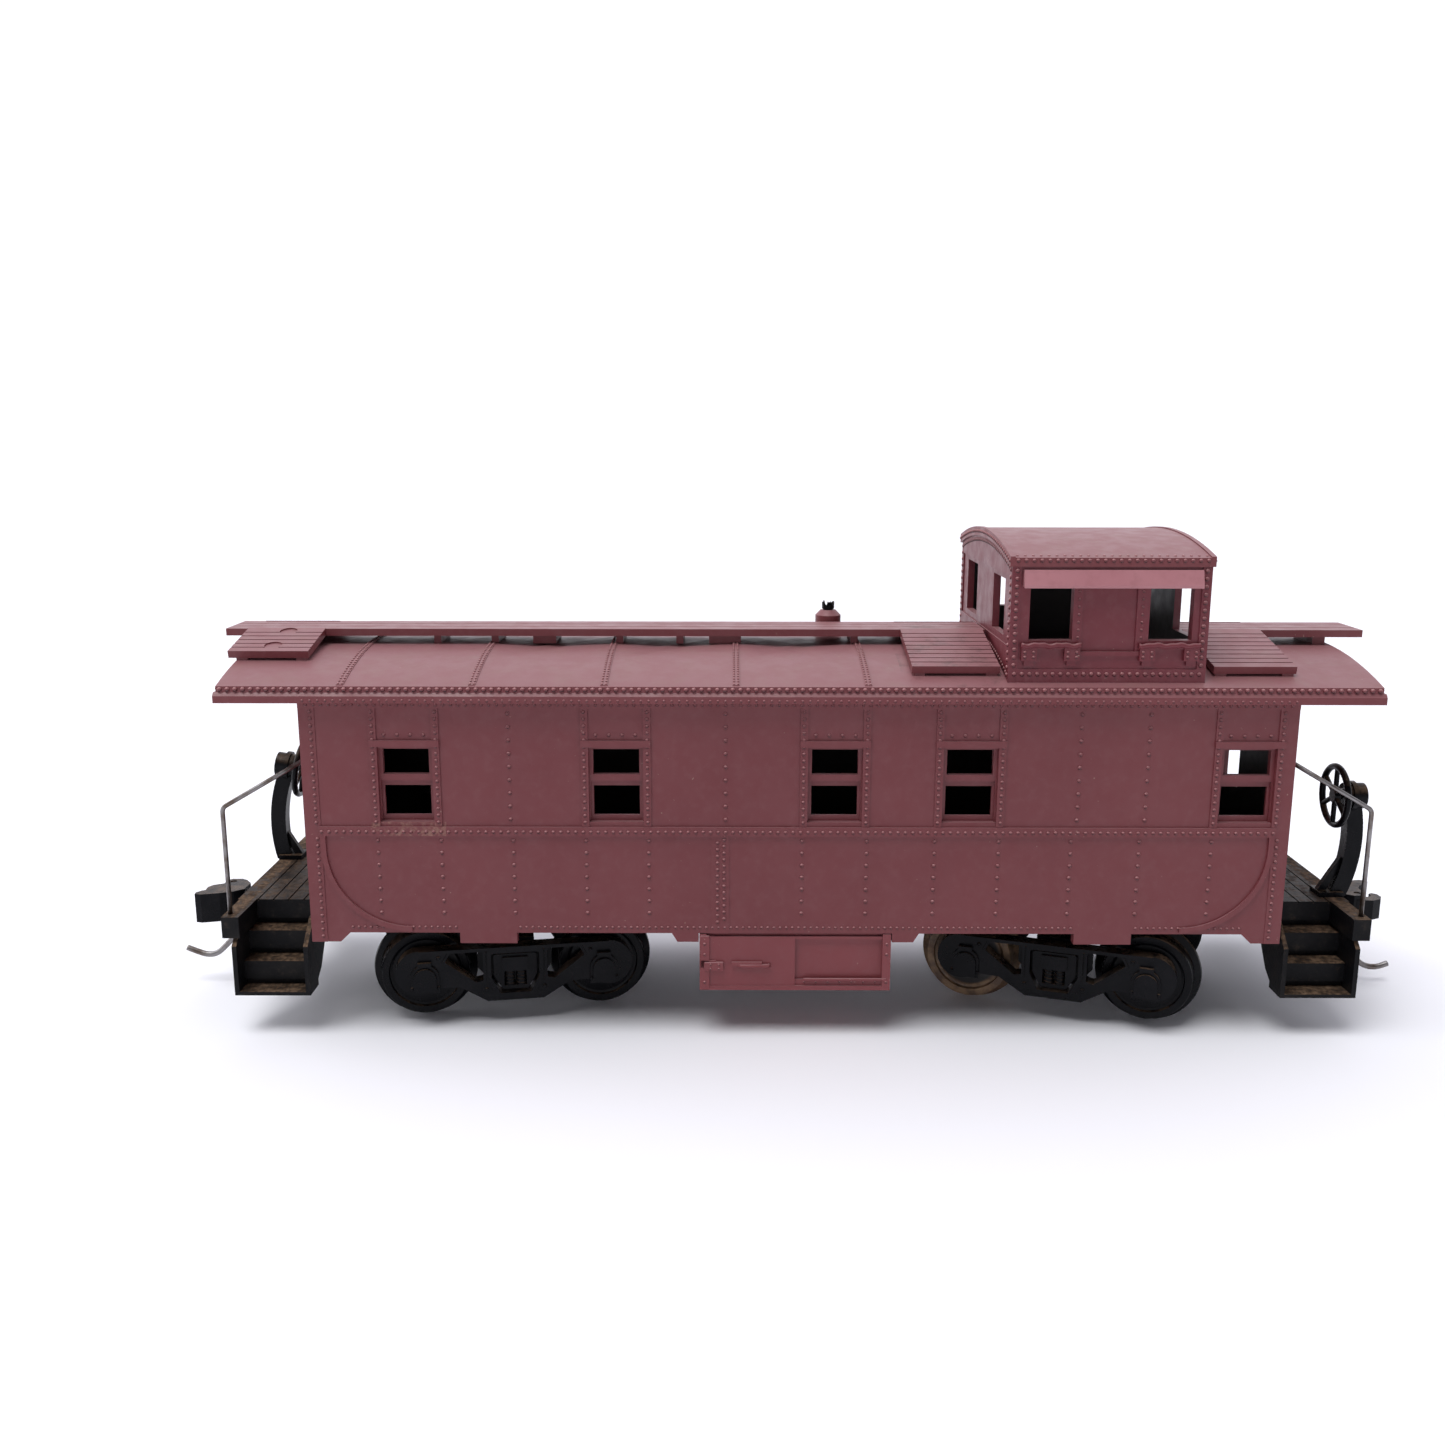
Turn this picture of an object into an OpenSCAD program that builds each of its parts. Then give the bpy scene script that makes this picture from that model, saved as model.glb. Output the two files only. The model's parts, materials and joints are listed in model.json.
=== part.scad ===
// Model railway cupola caboose, 1:87, 16.5 mm gauge. Millimetres.
// Origin: on the floor under the middle of the car. +X along the car towards the cupola end,
// +Y across the car, +Z up. End a is the long-roof end (-X), end b the cupola end (+X).
// "near" is the -Y side and "far" the +Y side.

/* [Body] */
// Length of the body over its end walls
body_l = 105; // [100:0.5:110]
// Width of the body over its side walls
body_w = 30.8; // [30.4:0.1:31.2]
// Height of the body's bottom edge above the floor
body_bottom_z = 12; // [11.9:0.1:12.1]
// Height of the top of the side walls
side_top_z = 37.6; // [37:0.1:38.5]
// Thickness of the moulded walls
wall_t = 1.2; // [1.1:0.05:1.3]
// How far the moulded strips stand proud
strip_t = 0.15; // [0.05:0.01:0.2]
// Middle of each side window along the car
window_xs = [-41.5, -19.2, 4, 18.3, 47.6];
// Width of a side window opening
window_w = 5.8; // [5:0.1:6.2]

/* [Roof] */
// Length of the roof over its upper fascia
roof_l = 121.2; // [118:0.2:124]
// Width of the roof over its upper fascia
roof_w = 32.7; // [32.4:0.1:33]
// Height of the roof's edge at the eaves
eave_z = 39.35; // [39:0.05:40]
// Rise of the roof's arc from the eaves to the middle
roof_rise = 2.49; // [2:0.01:3]
// How far the lower fascia stands outside the upper one
drip_t = 0.3; // [0.1:0.05:0.5]

/* [Cupola] */
// Where the cupola's two end walls stand along the car
cupola_xs = [21.94, 42.2];
// Width of the cupola over its side walls
cupola_w = 30.2; // [30:0.1:30.6]
// Height of the cupola's eaves
cupola_eave_z = 52.75; // [52:0.05:54]
// Rise of the cupola roof's arc
cupola_rise = 1.8; // [1.2:0.1:2.4]

/* [Roof walk] */
// Height of the top of the boards above the middle of the roof
walk_z = 43.5; // [43.2:0.1:44]
// Width of the middle board
walk_w = 6.4; // [6:0.1:7]
// Thickness of the boards
walk_t = 0.8; // [0.6:0.1:1]
// Slope of the side boards in degrees
side_board_slope = 12.2; // [11:0.1:12.5]

/* [Trucks] */
// Distance of each truck's centre from the middle of the car
truck_x = 33.2; // [32.6:0.1:33.8]
// Distance between the two axles of a truck
wheelbase = 19.8; // [19.4:0.1:20]
// How far the truck at end a stands turned, in degrees
truck_a_turn = 10; // [-12:1:12]
// How far the truck at end b stands turned, in degrees
truck_b_turn = -19; // [-19:1:12]
// Radius of the wheel tread
tread_r = 4.95; // [4.8:0.05:5.1]
// Radius of the wheel flange
flange_r = 5.8; // [5.6:0.05:5.8]
// Distance between the inner faces of the two wheels on an axle
back_to_back = 14.4; // [14.2:0.1:14.6]

/* [Ends] */
// Height of the end platform's deck
deck_z = 13.6; // [13.4:0.1:13.8]
// Where the outer edge of the end beam lies along the car
beam_x = 62.6; // [62.5:0.1:63]
// Height of the middle of the couplers
coupler_z = 10.1; // [10:0.05:10.2]
// Diameter of the handrail wire
wire_d = 0.5; // [0.4:0.05:0.6]

/* [Hidden] */

$fn = 48;
eps = 0.01;
big = 200;

// Colours
oxide_red = [0.40, 0.22, 0.24];
black_plastic = [0.10, 0.10, 0.11];
steel = [0.62, 0.62, 0.63];
brass = [0.62, 0.45, 0.24];

// Body
half_l = body_l / 2;
half_w = body_w / 2;
inner_w = half_w - wall_t;
belt_z = [23, 24];
belt_t = 0.28;
window_z = [24.5, 32.6];
header_z = [32.75, 33.45];
pane_w = 4.9;
upper_pane_z = [29.65, 32.4];
lower_pane_z = [25.1, 28.35];
far_pane_z = [25.7, 28.35];
lobe_z = 10.95;
sill_tab_z = 10.8;
box_tab_z = 11;
corner_arc_r = 9.4;

// Roof
function arc_radius(half_span, rise) = (half_span * half_span + rise * rise) / (2 * rise);
roof_half_w = roof_w / 2;
roof_r = arc_radius(roof_half_w, roof_rise);
roof_top_z = eave_z + roof_rise;
drip_z = 38.35;
soffit_drop = 1.9;
seam_pitch = 13.75;
seam_start = -47.75;

// Cupola
cupola_half_w = cupola_w / 2;
cupola_r = arc_radius(cupola_half_w, cupola_rise);
cupola_top_z = cupola_eave_z + cupola_rise;
cupola_roof_t = 0.9;
cupola_wall_t = 0.8;
cupola_mid = (cupola_xs[0] + cupola_xs[1]) / 2;
cupola_l = cupola_xs[1] - cupola_xs[0];
cupola_sill_z = 44.1;
cupola_head_z = 49.7;

// Toolboxes, floor
toolbox_half_l = 10.4;
toolbox_z = [5.45, 11.9];
floor_z = [12.2, 13.4];
floor_half_l = 49.8;
weight_t = 1.4;
peg_x = 25;
peg_r = 1;
floor_screw_x = 44;
floor_screw_y = 10.5;

// Steps
stair_x = [53.1, 61.4];
stair_plate_t = 0.5;
rise = 2.8;
run = 2.05;
tread_depth = 2.85;
bottom_tread_z = 5.05;
deck_edge_y = 9.3;
stair_back_y = 8;

// Handrail posts
rail_x = 61.75;
rail_y = 14;

// Brake gear
stand_y = -6.5;
stand_r = 17.9;
stand_w = 1.8;
stand_mid = [46.4, 20.3];
brake_z = 25.2;
stand_end_x = 64.2;
stand_a_lean = 9;
brake_wheel_x = 61.1;
brake_wheel_r = 3.3;

// Couplers
pivot_x = 54;
box_x = [51.5, 62.3];
box_half_w = 3.4;
pocket_z = [coupler_z - 0.9, coupler_z + 0.9];
lid_t = 0.5;
shank_t = 1.5;
post_r = 0.95;
knuckle_pivot = [67.05, -1.65];
pin_r = 0.34;
pin_xs = [66, 66.4];
pin_a_points = [[66, 9.7], [66, 7], [66.25, 6.35], [66.75, 5.7], [68.2, 4.2], [68.9, 3.65],
                [69.6, 3.45], [70.4, 3.5], [71.3, 3.8], [72.55, 4.3]];
pin_b_points = [[66.4, 9.7], [66.4, 6], [66.6, 5.2], [67.1, 4.4], [68.1, 3.35], [68.9, 2.65],
                [69.7, 2.15], [70.5, 1.95], [71.4, 2], [72.565, 2.4]];

// Trucks
axle_z = flange_r;
half_base = wheelbase / 2;
axle_r = 0.8;
stub_r = 0.6;
wheel_w = 2.8;
frame_y = [10.7, 12.3];
frame_top_z = 9.2;
frame_bottom_z = 2.85;
bolster_z = [6.6, 9.5];
screw_r = 0.95;

// ---------- helpers ----------

// A box from its lowest corner to its highest corner
module span(low, high) {
    translate(low)
        cube(high - low);
}

// Repeats its children on the -Y and the +Y side; the children are drawn for the +Y side
module both_sides() {
    for (flip = [0, 1])
        mirror([0, flip, 0])
            children();
}

// Places what is drawn for end b at end a (side = -1) or leaves it at end b (side = 1)
module at_end(side) {
    rotate([0, 0, side < 0 ? 180 : 0])
        children();
}

// A solid cylinder along X or Y
module rod_x(x0, x1, r, y = 0, z = 0) {
    translate([x0, y, z])
        rotate([0, 90, 0])
            cylinder(h = x1 - x0, r = r);
}

module rod_y(y0, y1, r, x = 0, z = 0) {
    translate([x, y0, z])
        rotate([-90, 0, 0])
            cylinder(h = y1 - y0, r = r);
}

// Everything under an arc that lies along X: radius r, highest line at top_z
module under_arc(r, top_z, length) {
    translate([-length / 2, 0, top_z - r])
        rotate([0, 90, 0])
            cylinder(h = length, r = r, $fn = 180);
}

// A flat outline drawn in X and Z, given a thickness from y0 to y1
module upright(y0, y1) {
    translate([0, y1, 0])
        rotate([90, 0, 0])
            linear_extrude(height = y1 - y0)
                children();
}

// A flat outline drawn in Y and Z, given a thickness from x0 to x1
module crosswise(x0, x1) {
    translate([x0, 0, 0])
        rotate([90, 0, 90])
            linear_extrude(height = x1 - x0)
                children();
}

// Points of an arc round a centre, from angle a0 to a1
function arc_points(centre, r, a0, a1, steps) =
    [for (k = [0 : steps])
        let (a = a0 + (a1 - a0) * k / steps)
            centre + r * [cos(a), sin(a)]];

// The direction, in degrees, of the outward normal of the edge from p to q
function edge_side(p, q) = atan2(p[0] - q[0], q[1] - p[1]);

// A convex outline, points anticlockwise, whose corners are rounded by r outside the points
module round_outline(points, r) {
    n = len(points);
    polygon([for (i = [0 : n - 1])
        let (a0 = edge_side(points[(i + n - 1) % n], points[i]),
             a1 = edge_side(points[i], points[(i + 1) % n]))
            each arc_points(points[i], r, a0, a1 < a0 ? a1 + 360 : a1, 4)]);
}

// An outline with an arched top: half width w, foot at z0, top of the straight sides at z1
module arch_outline(w, z0, z1) {
    polygon(concat([[-w, z0], [w, z0]], arc_points([0, z1], w, 0, 180, 16)));
}

// A bent wire in the X-Z plane through points of [x, z]; its short straight runs are twelve-sided
module wire(points, r) {
    last = len(points) - 2;
    for (i = [0 : last]) {
        d = points[i + 1] - points[i];
        length = norm(d);
        before = i > 0 ? 0.2 * r : 0;
        after = i < last ? 0.2 * r : 0;
        translate([points[i][0], 0, points[i][1]])
            rotate([0, atan2(d[0], d[1]), 0])
                translate([0, 0, -before])
                    cylinder(h = length + before + after, r = r, $fn = 12);
    }
}

// ---------- body ----------

module side_outline() {
    polygon([
        [-half_l, lobe_z], [-half_l + 3.1, lobe_z], [-half_l + 4.2, body_bottom_z],
        [-36.4, body_bottom_z], [-36.4, sill_tab_z], [-30.2, sill_tab_z],
        [-30.2, body_bottom_z], [-13.4, body_bottom_z], [-12.8, box_tab_z],
        [-toolbox_half_l - 0.1, box_tab_z], [-toolbox_half_l - 0.1, body_bottom_z],
        [toolbox_half_l + 0.1, body_bottom_z], [toolbox_half_l + 0.1, box_tab_z],
        [12.8, box_tab_z], [13.4, body_bottom_z], [30.2, body_bottom_z],
        [30.2, sill_tab_z], [36.4, sill_tab_z], [36.4, body_bottom_z],
        [half_l - 4.2, body_bottom_z], [half_l - 3.1, lobe_z], [half_l, lobe_z],
        [half_l, side_top_z], [-half_l, side_top_z]]);
}

// The raised strips of one side wall, on the +Y side
module side_strips() {
    y0 = half_w - eps;
    y1 = half_w + strip_t;
    span([-half_l + 1.5, y0, belt_z[0]], [half_l - 1.5, half_w + belt_t, belt_z[1]]);
    span([-half_l, y0, 36.9], [half_l, y1, side_top_z]);
    for (end = [-1, 1])
        translate([end * (half_l - 0.85), 0, 0])
            span([-0.85, y0, lobe_z], [0.85, half_w + 0.08, side_top_z]);
    span([-9.15, y0, body_bottom_z], [-7.2, half_w + 0.07, belt_z[0] + eps]);
    for (x = window_xs) {
        for (edge = [-1, 1])
            translate([x + edge * (window_w / 2 + 0.4), 0, 0])
                span([-0.4, y0, belt_z[1] - eps], [0.4, y1, side_top_z]);
        span([x - window_w / 2 - 0.8, y0, header_z[0]],
             [x + window_w / 2 + 0.8, y1 + strip_t, header_z[1]]);
    }
    corner_battens(y0, half_w + belt_t - 0.03);
}

// The curved battens in the lower corners of a side
module corner_battens(y0, y1) {
    batten_w = 0.55;
    mid_z = 21.6;
    for (end = [-1, 1])
        translate([end * (half_l - 1.6 - corner_arc_r), 0, mid_z])
            intersection() {
                difference() {
                    rod_y(y0, y1, corner_arc_r);
                    rod_y(y0 - 1, y1 + 1, corner_arc_r - batten_w);
                }
                mirror([end < 0 ? 1 : 0, 0, 0])
                    span([0, y0 - 1, -corner_arc_r - 1], [corner_arc_r + 1, y1 + 1, 0]);
            }
    for (end = [-1, 1])
        translate([end * (half_l - 1.6 - batten_w / 2), 0, 0])
            span([-batten_w / 2, y0, mid_z - eps], [batten_w / 2, y1, belt_z[0] + eps]);
}

// What is cut away for one window, on the +Y side
module window_cut(x, low_z) {
    outer_y = half_w + 1;
    span([x - window_w / 2, half_w - 0.45, window_z[0]], [x + window_w / 2, outer_y, window_z[1]]);
    span([x - window_w / 2 + 0.15, half_w - 0.8, window_z[0]],
         [x + window_w / 2 - 0.15, outer_y, 28.95]);
    for (z = [upper_pane_z, low_z])
        span([x - pane_w / 2, 0, z[0]], [x + pane_w / 2, outer_y, z[1]]);
}

// The end wall at +X, with its door moulded in and an open window in the door
module end_wall() {
    sill = deck_z + 0.05;
    door_half_w = 3.8;
    difference() {
        intersection() {
            span([half_l - wall_t, -inner_w - eps, sill], [half_l, inner_w + eps, big]);
            under_arc(roof_r - soffit_drop, roof_top_z - soffit_drop, big);
        }
        span([half_l - 0.4, -door_half_w, sill - 1], [half_l + 1, door_half_w, 35.4]);
        span([half_l - 3, -door_half_w + 0.7, 25.2], [half_l + 1, door_half_w - 0.7, 32.2]);
    }
    for (edge = [-1, 1])
        translate([0, edge * (door_half_w + 0.35), 0])
            span([half_l - eps, -0.35, sill], [half_l + strip_t, 0.35, 35.9]);
    span([half_l - eps, -door_half_w - 0.7, 35.4], [half_l + strip_t, door_half_w + 0.7, 36.1]);
    span([half_l - 0.6, -3.1, 15], [half_l - 0.25, 3.1, 18.6]);
    span([half_l - 0.6, -3.1, 19.6], [half_l - 0.25, 3.1, 23.4]);
}

// The inside posts that the floor screws bite into, on the +Y side
module screw_posts() {
    post_z = [floor_z[1], 21];
    for (end = [-1, 1])
        difference() {
            union() {
                translate([end * floor_screw_x, floor_screw_y, post_z[0]])
                    cylinder(h = post_z[1] - post_z[0], r = 1.6);
                translate([end * floor_screw_x, 0, 0])
                    span([-0.5, floor_screw_y, post_z[0]], [0.5, inner_w + eps, post_z[1]]);
            }
            translate([end * floor_screw_x, floor_screw_y, 0])
                cylinder(h = 18.4, r = 0.7);
        }
}

// One long side, on the +Y side
module side_wall(low_z) {
    difference() {
        union() {
            upright(inner_w, half_w)
                side_outline();
            side_strips();
        }
        for (x = window_xs)
            window_cut(x, low_z);
    }
}

module body_shell() {
    color(oxide_red)
        union() {
            side_wall(far_pane_z);
            near_side()
                side_wall(lower_pane_z);
            both_sides()
                screw_posts();
            for (side = [-1, 1])
                at_end(side)
                    end_wall();
        }
}

// ---------- roof ----------

module roof() {
    color(oxide_red)
        difference() {
            union() {
                intersection() {
                    under_arc(roof_r, roof_top_z, roof_l);
                    span([-roof_l / 2, -roof_half_w, side_top_z], [roof_l / 2, roof_half_w, big]);
                }
                drip_strip();
                roof_seams();
            }
            intersection() {
                under_arc(roof_r - soffit_drop, roof_top_z - soffit_drop, big);
                span([-big / 2, -inner_w, side_top_z - 1], [big / 2, inner_w, big]);
            }
            span([cupola_xs[0] + 2, -12.6, side_top_z], [cupola_xs[1] - 2, 12.6, big]);
        }
}

// The lower fascia with its sloping ledge, standing a little outside the upper one
module drip_strip() {
    x = roof_l / 2 + drip_t;
    ledge = 0.35;
    intersection() {
        crosswise(-x, x)
            polygon([[-roof_half_w - drip_t, side_top_z], [roof_half_w + drip_t, side_top_z],
                     [roof_half_w + drip_t, drip_z], [roof_half_w, drip_z + ledge],
                     [-roof_half_w, drip_z + ledge], [-roof_half_w - drip_t, drip_z]]);
        union() {
            span([-x, -roof_half_w - 1, 0], [-roof_l / 2 + 0.4, roof_half_w + 1, big]);
            span([roof_l / 2 - 0.4, -roof_half_w - 1, 0], [x, roof_half_w + 1, big]);
            both_sides()
                span([-x, roof_half_w - 1, 0], [x, roof_half_w + 1, big]);
        }
    }
}

// The flat cover strips over the joints between roof sheets
module roof_seams() {
    half_strip = 0.38;
    for (i = [0 : 4])
        translate([seam_start + i * seam_pitch, 0, 0])
            intersection() {
                under_arc(roof_r + 0.07, roof_top_z + 0.07, 2 * half_strip);
                span([-half_strip, -roof_half_w + 0.25, eave_z - 0.4],
                     [half_strip, roof_half_w - 0.25, big]);
            }
}

// Everything that the roof's outer skin fills, to cut what stands on it
module roof_body() {
    under_arc(roof_r, roof_top_z, 2 * big);
}

// ---------- cupola ----------

module cupola_body() {
    color(oxide_red)
        difference() {
            union() {
                cupola_walls();
                both_sides()
                    cupola_side_trim();
                cupola_end_trim();
            }
            roof_body();
            cupola_windows();
        }
}

module cupola_walls() {
    difference() {
        intersection() {
            span([cupola_xs[0], -cupola_half_w, eave_z], [cupola_xs[1], cupola_half_w, big]);
            under_arc(cupola_r - cupola_roof_t, cupola_top_z - cupola_roof_t, big);
        }
        span([cupola_xs[0] + cupola_wall_t, -cupola_half_w + wall_t, 0],
             [cupola_xs[1] - cupola_wall_t, cupola_half_w - wall_t, big]);
        both_sides()
            span([cupola_mid - 2.8, cupola_half_w - 0.2, 42.9],
                 [cupola_mid + 2.8, cupola_half_w + 1, cupola_head_z + 0.2]);
    }
}

// Corner angles, bottom strip, window sills and their bearing blocks, on the +Y side
module cupola_side_trim() {
    y0 = cupola_half_w - eps;
    y1 = cupola_half_w + strip_t;
    bearing_h = 1.5;
    span([cupola_xs[0], y0, eave_z], [cupola_xs[1], y1, 41.1]);
    for (x = [cupola_xs[0] + 0.4, cupola_xs[1] - 0.4])
        translate([x, 0, 0])
            span([-0.4, y0, eave_z], [0.4, y1, cupola_eave_z - 1.05]);
    for (x = [23.85, 28.3, 36.1, 40.7])
        translate([x, 0, 0]) {
            span([-0.8, y0, 42], [0.8, y1 + 0.35, 42 + bearing_h]);
            span([-0.5, y0, 41.5], [0.5, y1 + 0.2, 42.2]);
        }
    for (x = [26.05, 38.4])
        translate([x, 0, 0])
            span([-2.5, y0, 43.2], [2.5, y1 + 0.2, 43.75]);
    span([28.5, y0, 42.5], [36, y1 + 0.1, 42.95]);
}

// Corner angles and bottom strip of the two end walls, and the raised lunette under the roof
module cupola_end_trim() {
    intersection() {
        union()
            for (x = [cupola_xs[0] - strip_t, cupola_xs[1]])
                translate([x, 0, 0]) {
                    both_sides()
                        span([0, cupola_half_w - 1, eave_z],
                             [strip_t, cupola_half_w + strip_t, cupola_eave_z]);
                    span([0, -cupola_half_w, 50.6], [strip_t, cupola_half_w, big]);
                    span([0, -cupola_half_w, eave_z], [strip_t, cupola_half_w, 43.4]);
                }
        under_arc(cupola_r - cupola_roof_t, cupola_top_z - cupola_roof_t, big);
    }
}

module cupola_windows() {
    half_opening = 2.25;
    both_sides() {
        for (x = [26.05, 38.45])
            span([x - half_opening, 0.5, cupola_sill_z], [x + half_opening, big, cupola_head_z]);
        span([cupola_xs[0] - 1, 4.9, cupola_sill_z], [cupola_xs[0] + 1, 11.3, 50.1]);
        span([cupola_xs[1] - 1, 6.6, cupola_sill_z], [cupola_xs[1] + 1, 12, 50.1]);
    }
}

module cupola_roof() {
    bead = 0.25;
    color(oxide_red)
        difference() {
            union() {
                intersection() {
                    under_arc(cupola_r, cupola_top_z, big);
                    span([cupola_xs[0] - strip_t, -cupola_half_w - 0.3, cupola_eave_z - 1],
                         [cupola_xs[1] + strip_t, cupola_half_w + 0.3, big]);
                }
                for (x = [cupola_xs[0] - strip_t - bead, cupola_xs[1] + strip_t - 0.25])
                    intersection() {
                        translate([x, 0, 0])
                            span([0, -cupola_half_w - 0.3, cupola_eave_z - 1],
                                 [0.5, cupola_half_w + 0.3, big]);
                        under_arc(cupola_r + 0.12, cupola_top_z + 0.12, big);
                    }
            }
            under_arc(cupola_r - cupola_roof_t, cupola_top_z - cupola_roof_t, big);
        }
}

// The hinged-looking sun visors over the cupola's side windows
module cupola_visors() {
    y = cupola_half_w;
    color(oxide_red)
        both_sides()
            crosswise(23, 41.35)
                polygon([[y, 49.75], [y + 0.9, 49.6], [y + 0.9, 49.9], [y + 0.4, 51.45], [y, 51.45]]);
}

// ---------- roof walks ----------

// A side board on the +Y side from x0 to x1 that ends at the outer edge y1; ribs lie along X
module side_board(x0, x1, y1) {
    board_w = (y1 - walk_w / 2) / cos(side_board_slope);
    ribs = round(board_w / 1.2);
    translate([0, walk_w / 2, walk_z])
        rotate([-side_board_slope, 0, 0])
            difference() {
                span([x0, -0.3, -walk_t], [x1, board_w, 0]);
                for (i = [1 : ribs - 1])
                    translate([0, i * board_w / ribs, 0])
                        span([x0 - 1, -0.09, -0.14], [x1 + 1, 0.09, 1]);
            }
}

// Two small feet that carry the outer edge of a side board on the +Y side
module board_feet(x0, x1, y) {
    for (x = [x0 + 0.8, x1 - 0.8])
        translate([x, 0, 0])
            intersection() {
                span([-0.6, y - 1.1, eave_z], [0.6, y - 0.3, walk_z]);
                translate([0, walk_w / 2, walk_z - walk_t])
                    rotate([-side_board_slope, 0, 0])
                        span([-2, -5, -3], [2, 20, eps]);
            }
}

// The middle board with its three planks
module middle_board(x0, x1) {
    difference() {
        span([x0, -walk_w / 2, walk_z - walk_t], [x1, walk_w / 2, walk_z]);
        for (y = [-walk_w / 6, walk_w / 6])
            span([x0 - 1, y - 0.08, walk_z - 0.14], [x1 + 1, y + 0.08, walk_z + 1]);
    }
}

// Saddle blocks between the roof and the middle board
module saddles(xs, length) {
    for (x = xs)
        translate([x, 0, 0])
            span([-length / 2, -2.6, eave_z], [length / 2, 2.6, walk_z - walk_t + eps]);
}

// Round marks that the mould's ejector pins left in the corner of the end board
module pin_marks() {
    for (mark = [[-57, -8.2], [-56.6, -3.9]])
        translate([mark[0], -walk_w / 2, walk_z])
            rotate([side_board_slope, 0, 0])
                translate([0, (mark[1] + walk_w / 2) / cos(side_board_slope), -0.15])
                    cylinder(h = 2, r = 0.95);
}

module roof_walk_long() {
    wing_x = [-61.4, -52.7];
    side_x = [12, cupola_xs[0] - 0.7];
    color(oxide_red)
        difference() {
            union() {
                middle_board(-63.9, cupola_xs[0] - strip_t - 0.3);
                both_sides() {
                    side_board(wing_x[0], wing_x[1], 10);
                    side_board(side_x[0], side_x[1], 14);
                    board_feet(wing_x[0] + 0.6, wing_x[1], 10);
                    board_feet(side_x[0], side_x[1], 14);
                }
                saddles([-40.2, -33.7, -19.6, -12.8, 6.9, -58.5, 13.5], 0.8);
                saddles([-28.1], 2.6);
                saddles([-7.7], 3.6);
            }
            roof_body();
            seam_clearance();
            pin_marks();
        }
}

// Room for the roof's cover strips where a saddle stands on one
module seam_clearance() {
    for (i = [0 : 4])
        translate([seam_start + i * seam_pitch, 0, 0])
            under_arc(roof_r + 0.1, roof_top_z + 0.1, 1.2);
}

module roof_walk_short() {
    side_x = [43.7, 52.4];
    color(oxide_red)
        difference() {
            union() {
                middle_board(cupola_xs[1] + strip_t + 0.3, 63.9);
                both_sides() {
                    side_board(side_x[0], side_x[1], 14);
                    board_feet(side_x[0], side_x[1], 14);
                }
                saddles([45, 51], 0.8);
                saddles([59.3], 1.4);
            }
            roof_body();
        }
}

// ---------- smokejack ----------

module smokejack_base() {
    color(oxide_red)
        translate([4.45, 5, 0])
            difference() {
                union() {
                    translate([0, 0, 40.5])
                        cylinder(h = 3.6, r = 1.5);
                    translate([0, 0, 44.1 - eps])
                        cylinder(h = 0.6, r1 = 1.5, r2 = 0.9);
                }
                translate([0, 0, 43.6])
                    cylinder(h = 2, r = 0.55);
                translate([-4.45, -5, 0])
                    roof_body();
            }
}

// The broken-off lower end of the stack
module smokejack_stub() {
    color(black_plastic)
        translate([4.45, 5, 43.6])
            difference() {
                union() {
                    cylinder(h = 1.3, r = 0.55);
                    translate([0, 0, 1.1])
                        cylinder(h = 0.9, r = 0.75);
                }
                translate([-2, -2, 1.75])
                    rotate([0, -14, 0])
                        cube([5, 4, 2]);
            }
}

// ---------- floor ----------

module underframe() {
    sill_half_w = 1.2;
    color(black_plastic)
        difference() {
            union() {
                span([-floor_half_l, -inner_w, floor_z[0]], [floor_half_l, inner_w, floor_z[1]]);
                span([-floor_half_l, -sill_half_w, 10.4],
                     [floor_half_l, sill_half_w, floor_z[0] + eps]);
                for (x = [-truck_x, truck_x])
                    translate([x, 0, bolster_z[1] + 0.1])
                        cylinder(h = floor_z[0] - bolster_z[1], r = 3);
                for (x = [-peg_x, peg_x])
                    translate([x, 0, floor_z[1] - eps])
                        cylinder(h = weight_t + 0.5, r = peg_r);
                for (x = [-13.2, 13.2])
                    crosswise(x - 0.4, x + 0.4)
                        polygon([[-13.5, floor_z[0] + eps], [-2, 10], [2, 10], [13.5, floor_z[0] + eps]]);
            }
            for (x = [-truck_x, truck_x])
                translate([x, 0, 0])
                    cylinder(h = 12.9, r = screw_r);
            both_sides()
                for (x = [-floor_screw_x, floor_screw_x])
                    translate([x, floor_screw_y, 0]) {
                        cylinder(h = 20, r = 0.8);
                        cylinder(h = floor_z[0] + 0.5, r = 1.4);
                    }
        }
}

module floor_weight() {
    color(steel)
        difference() {
            span([-38, -11.5, floor_z[1]], [38, 11.5, floor_z[1] + weight_t]);
            for (x = [-peg_x, peg_x])
                translate([x, 0, 0])
                    cylinder(h = 20, r = peg_r + 0.05);
        }
}

// Four self-tapping screws that hold the floor in the body shell
module floor_screws() {
    color(steel)
        both_sides()
            for (x = [-floor_screw_x, floor_screw_x])
                translate([x, floor_screw_y, 0])
                    difference() {
                        union() {
                            translate([0, 0, floor_z[0] - 0.1])
                                cylinder(h = 0.6, r = 1.3);
                            translate([0, 0, floor_z[0]])
                                cylinder(h = 6, r = 0.7);
                        }
                        span([-1.1, -0.15, 0], [1.1, 0.15, floor_z[0] + 0.15]);
                    }
}

// ---------- toolboxes ----------

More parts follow.
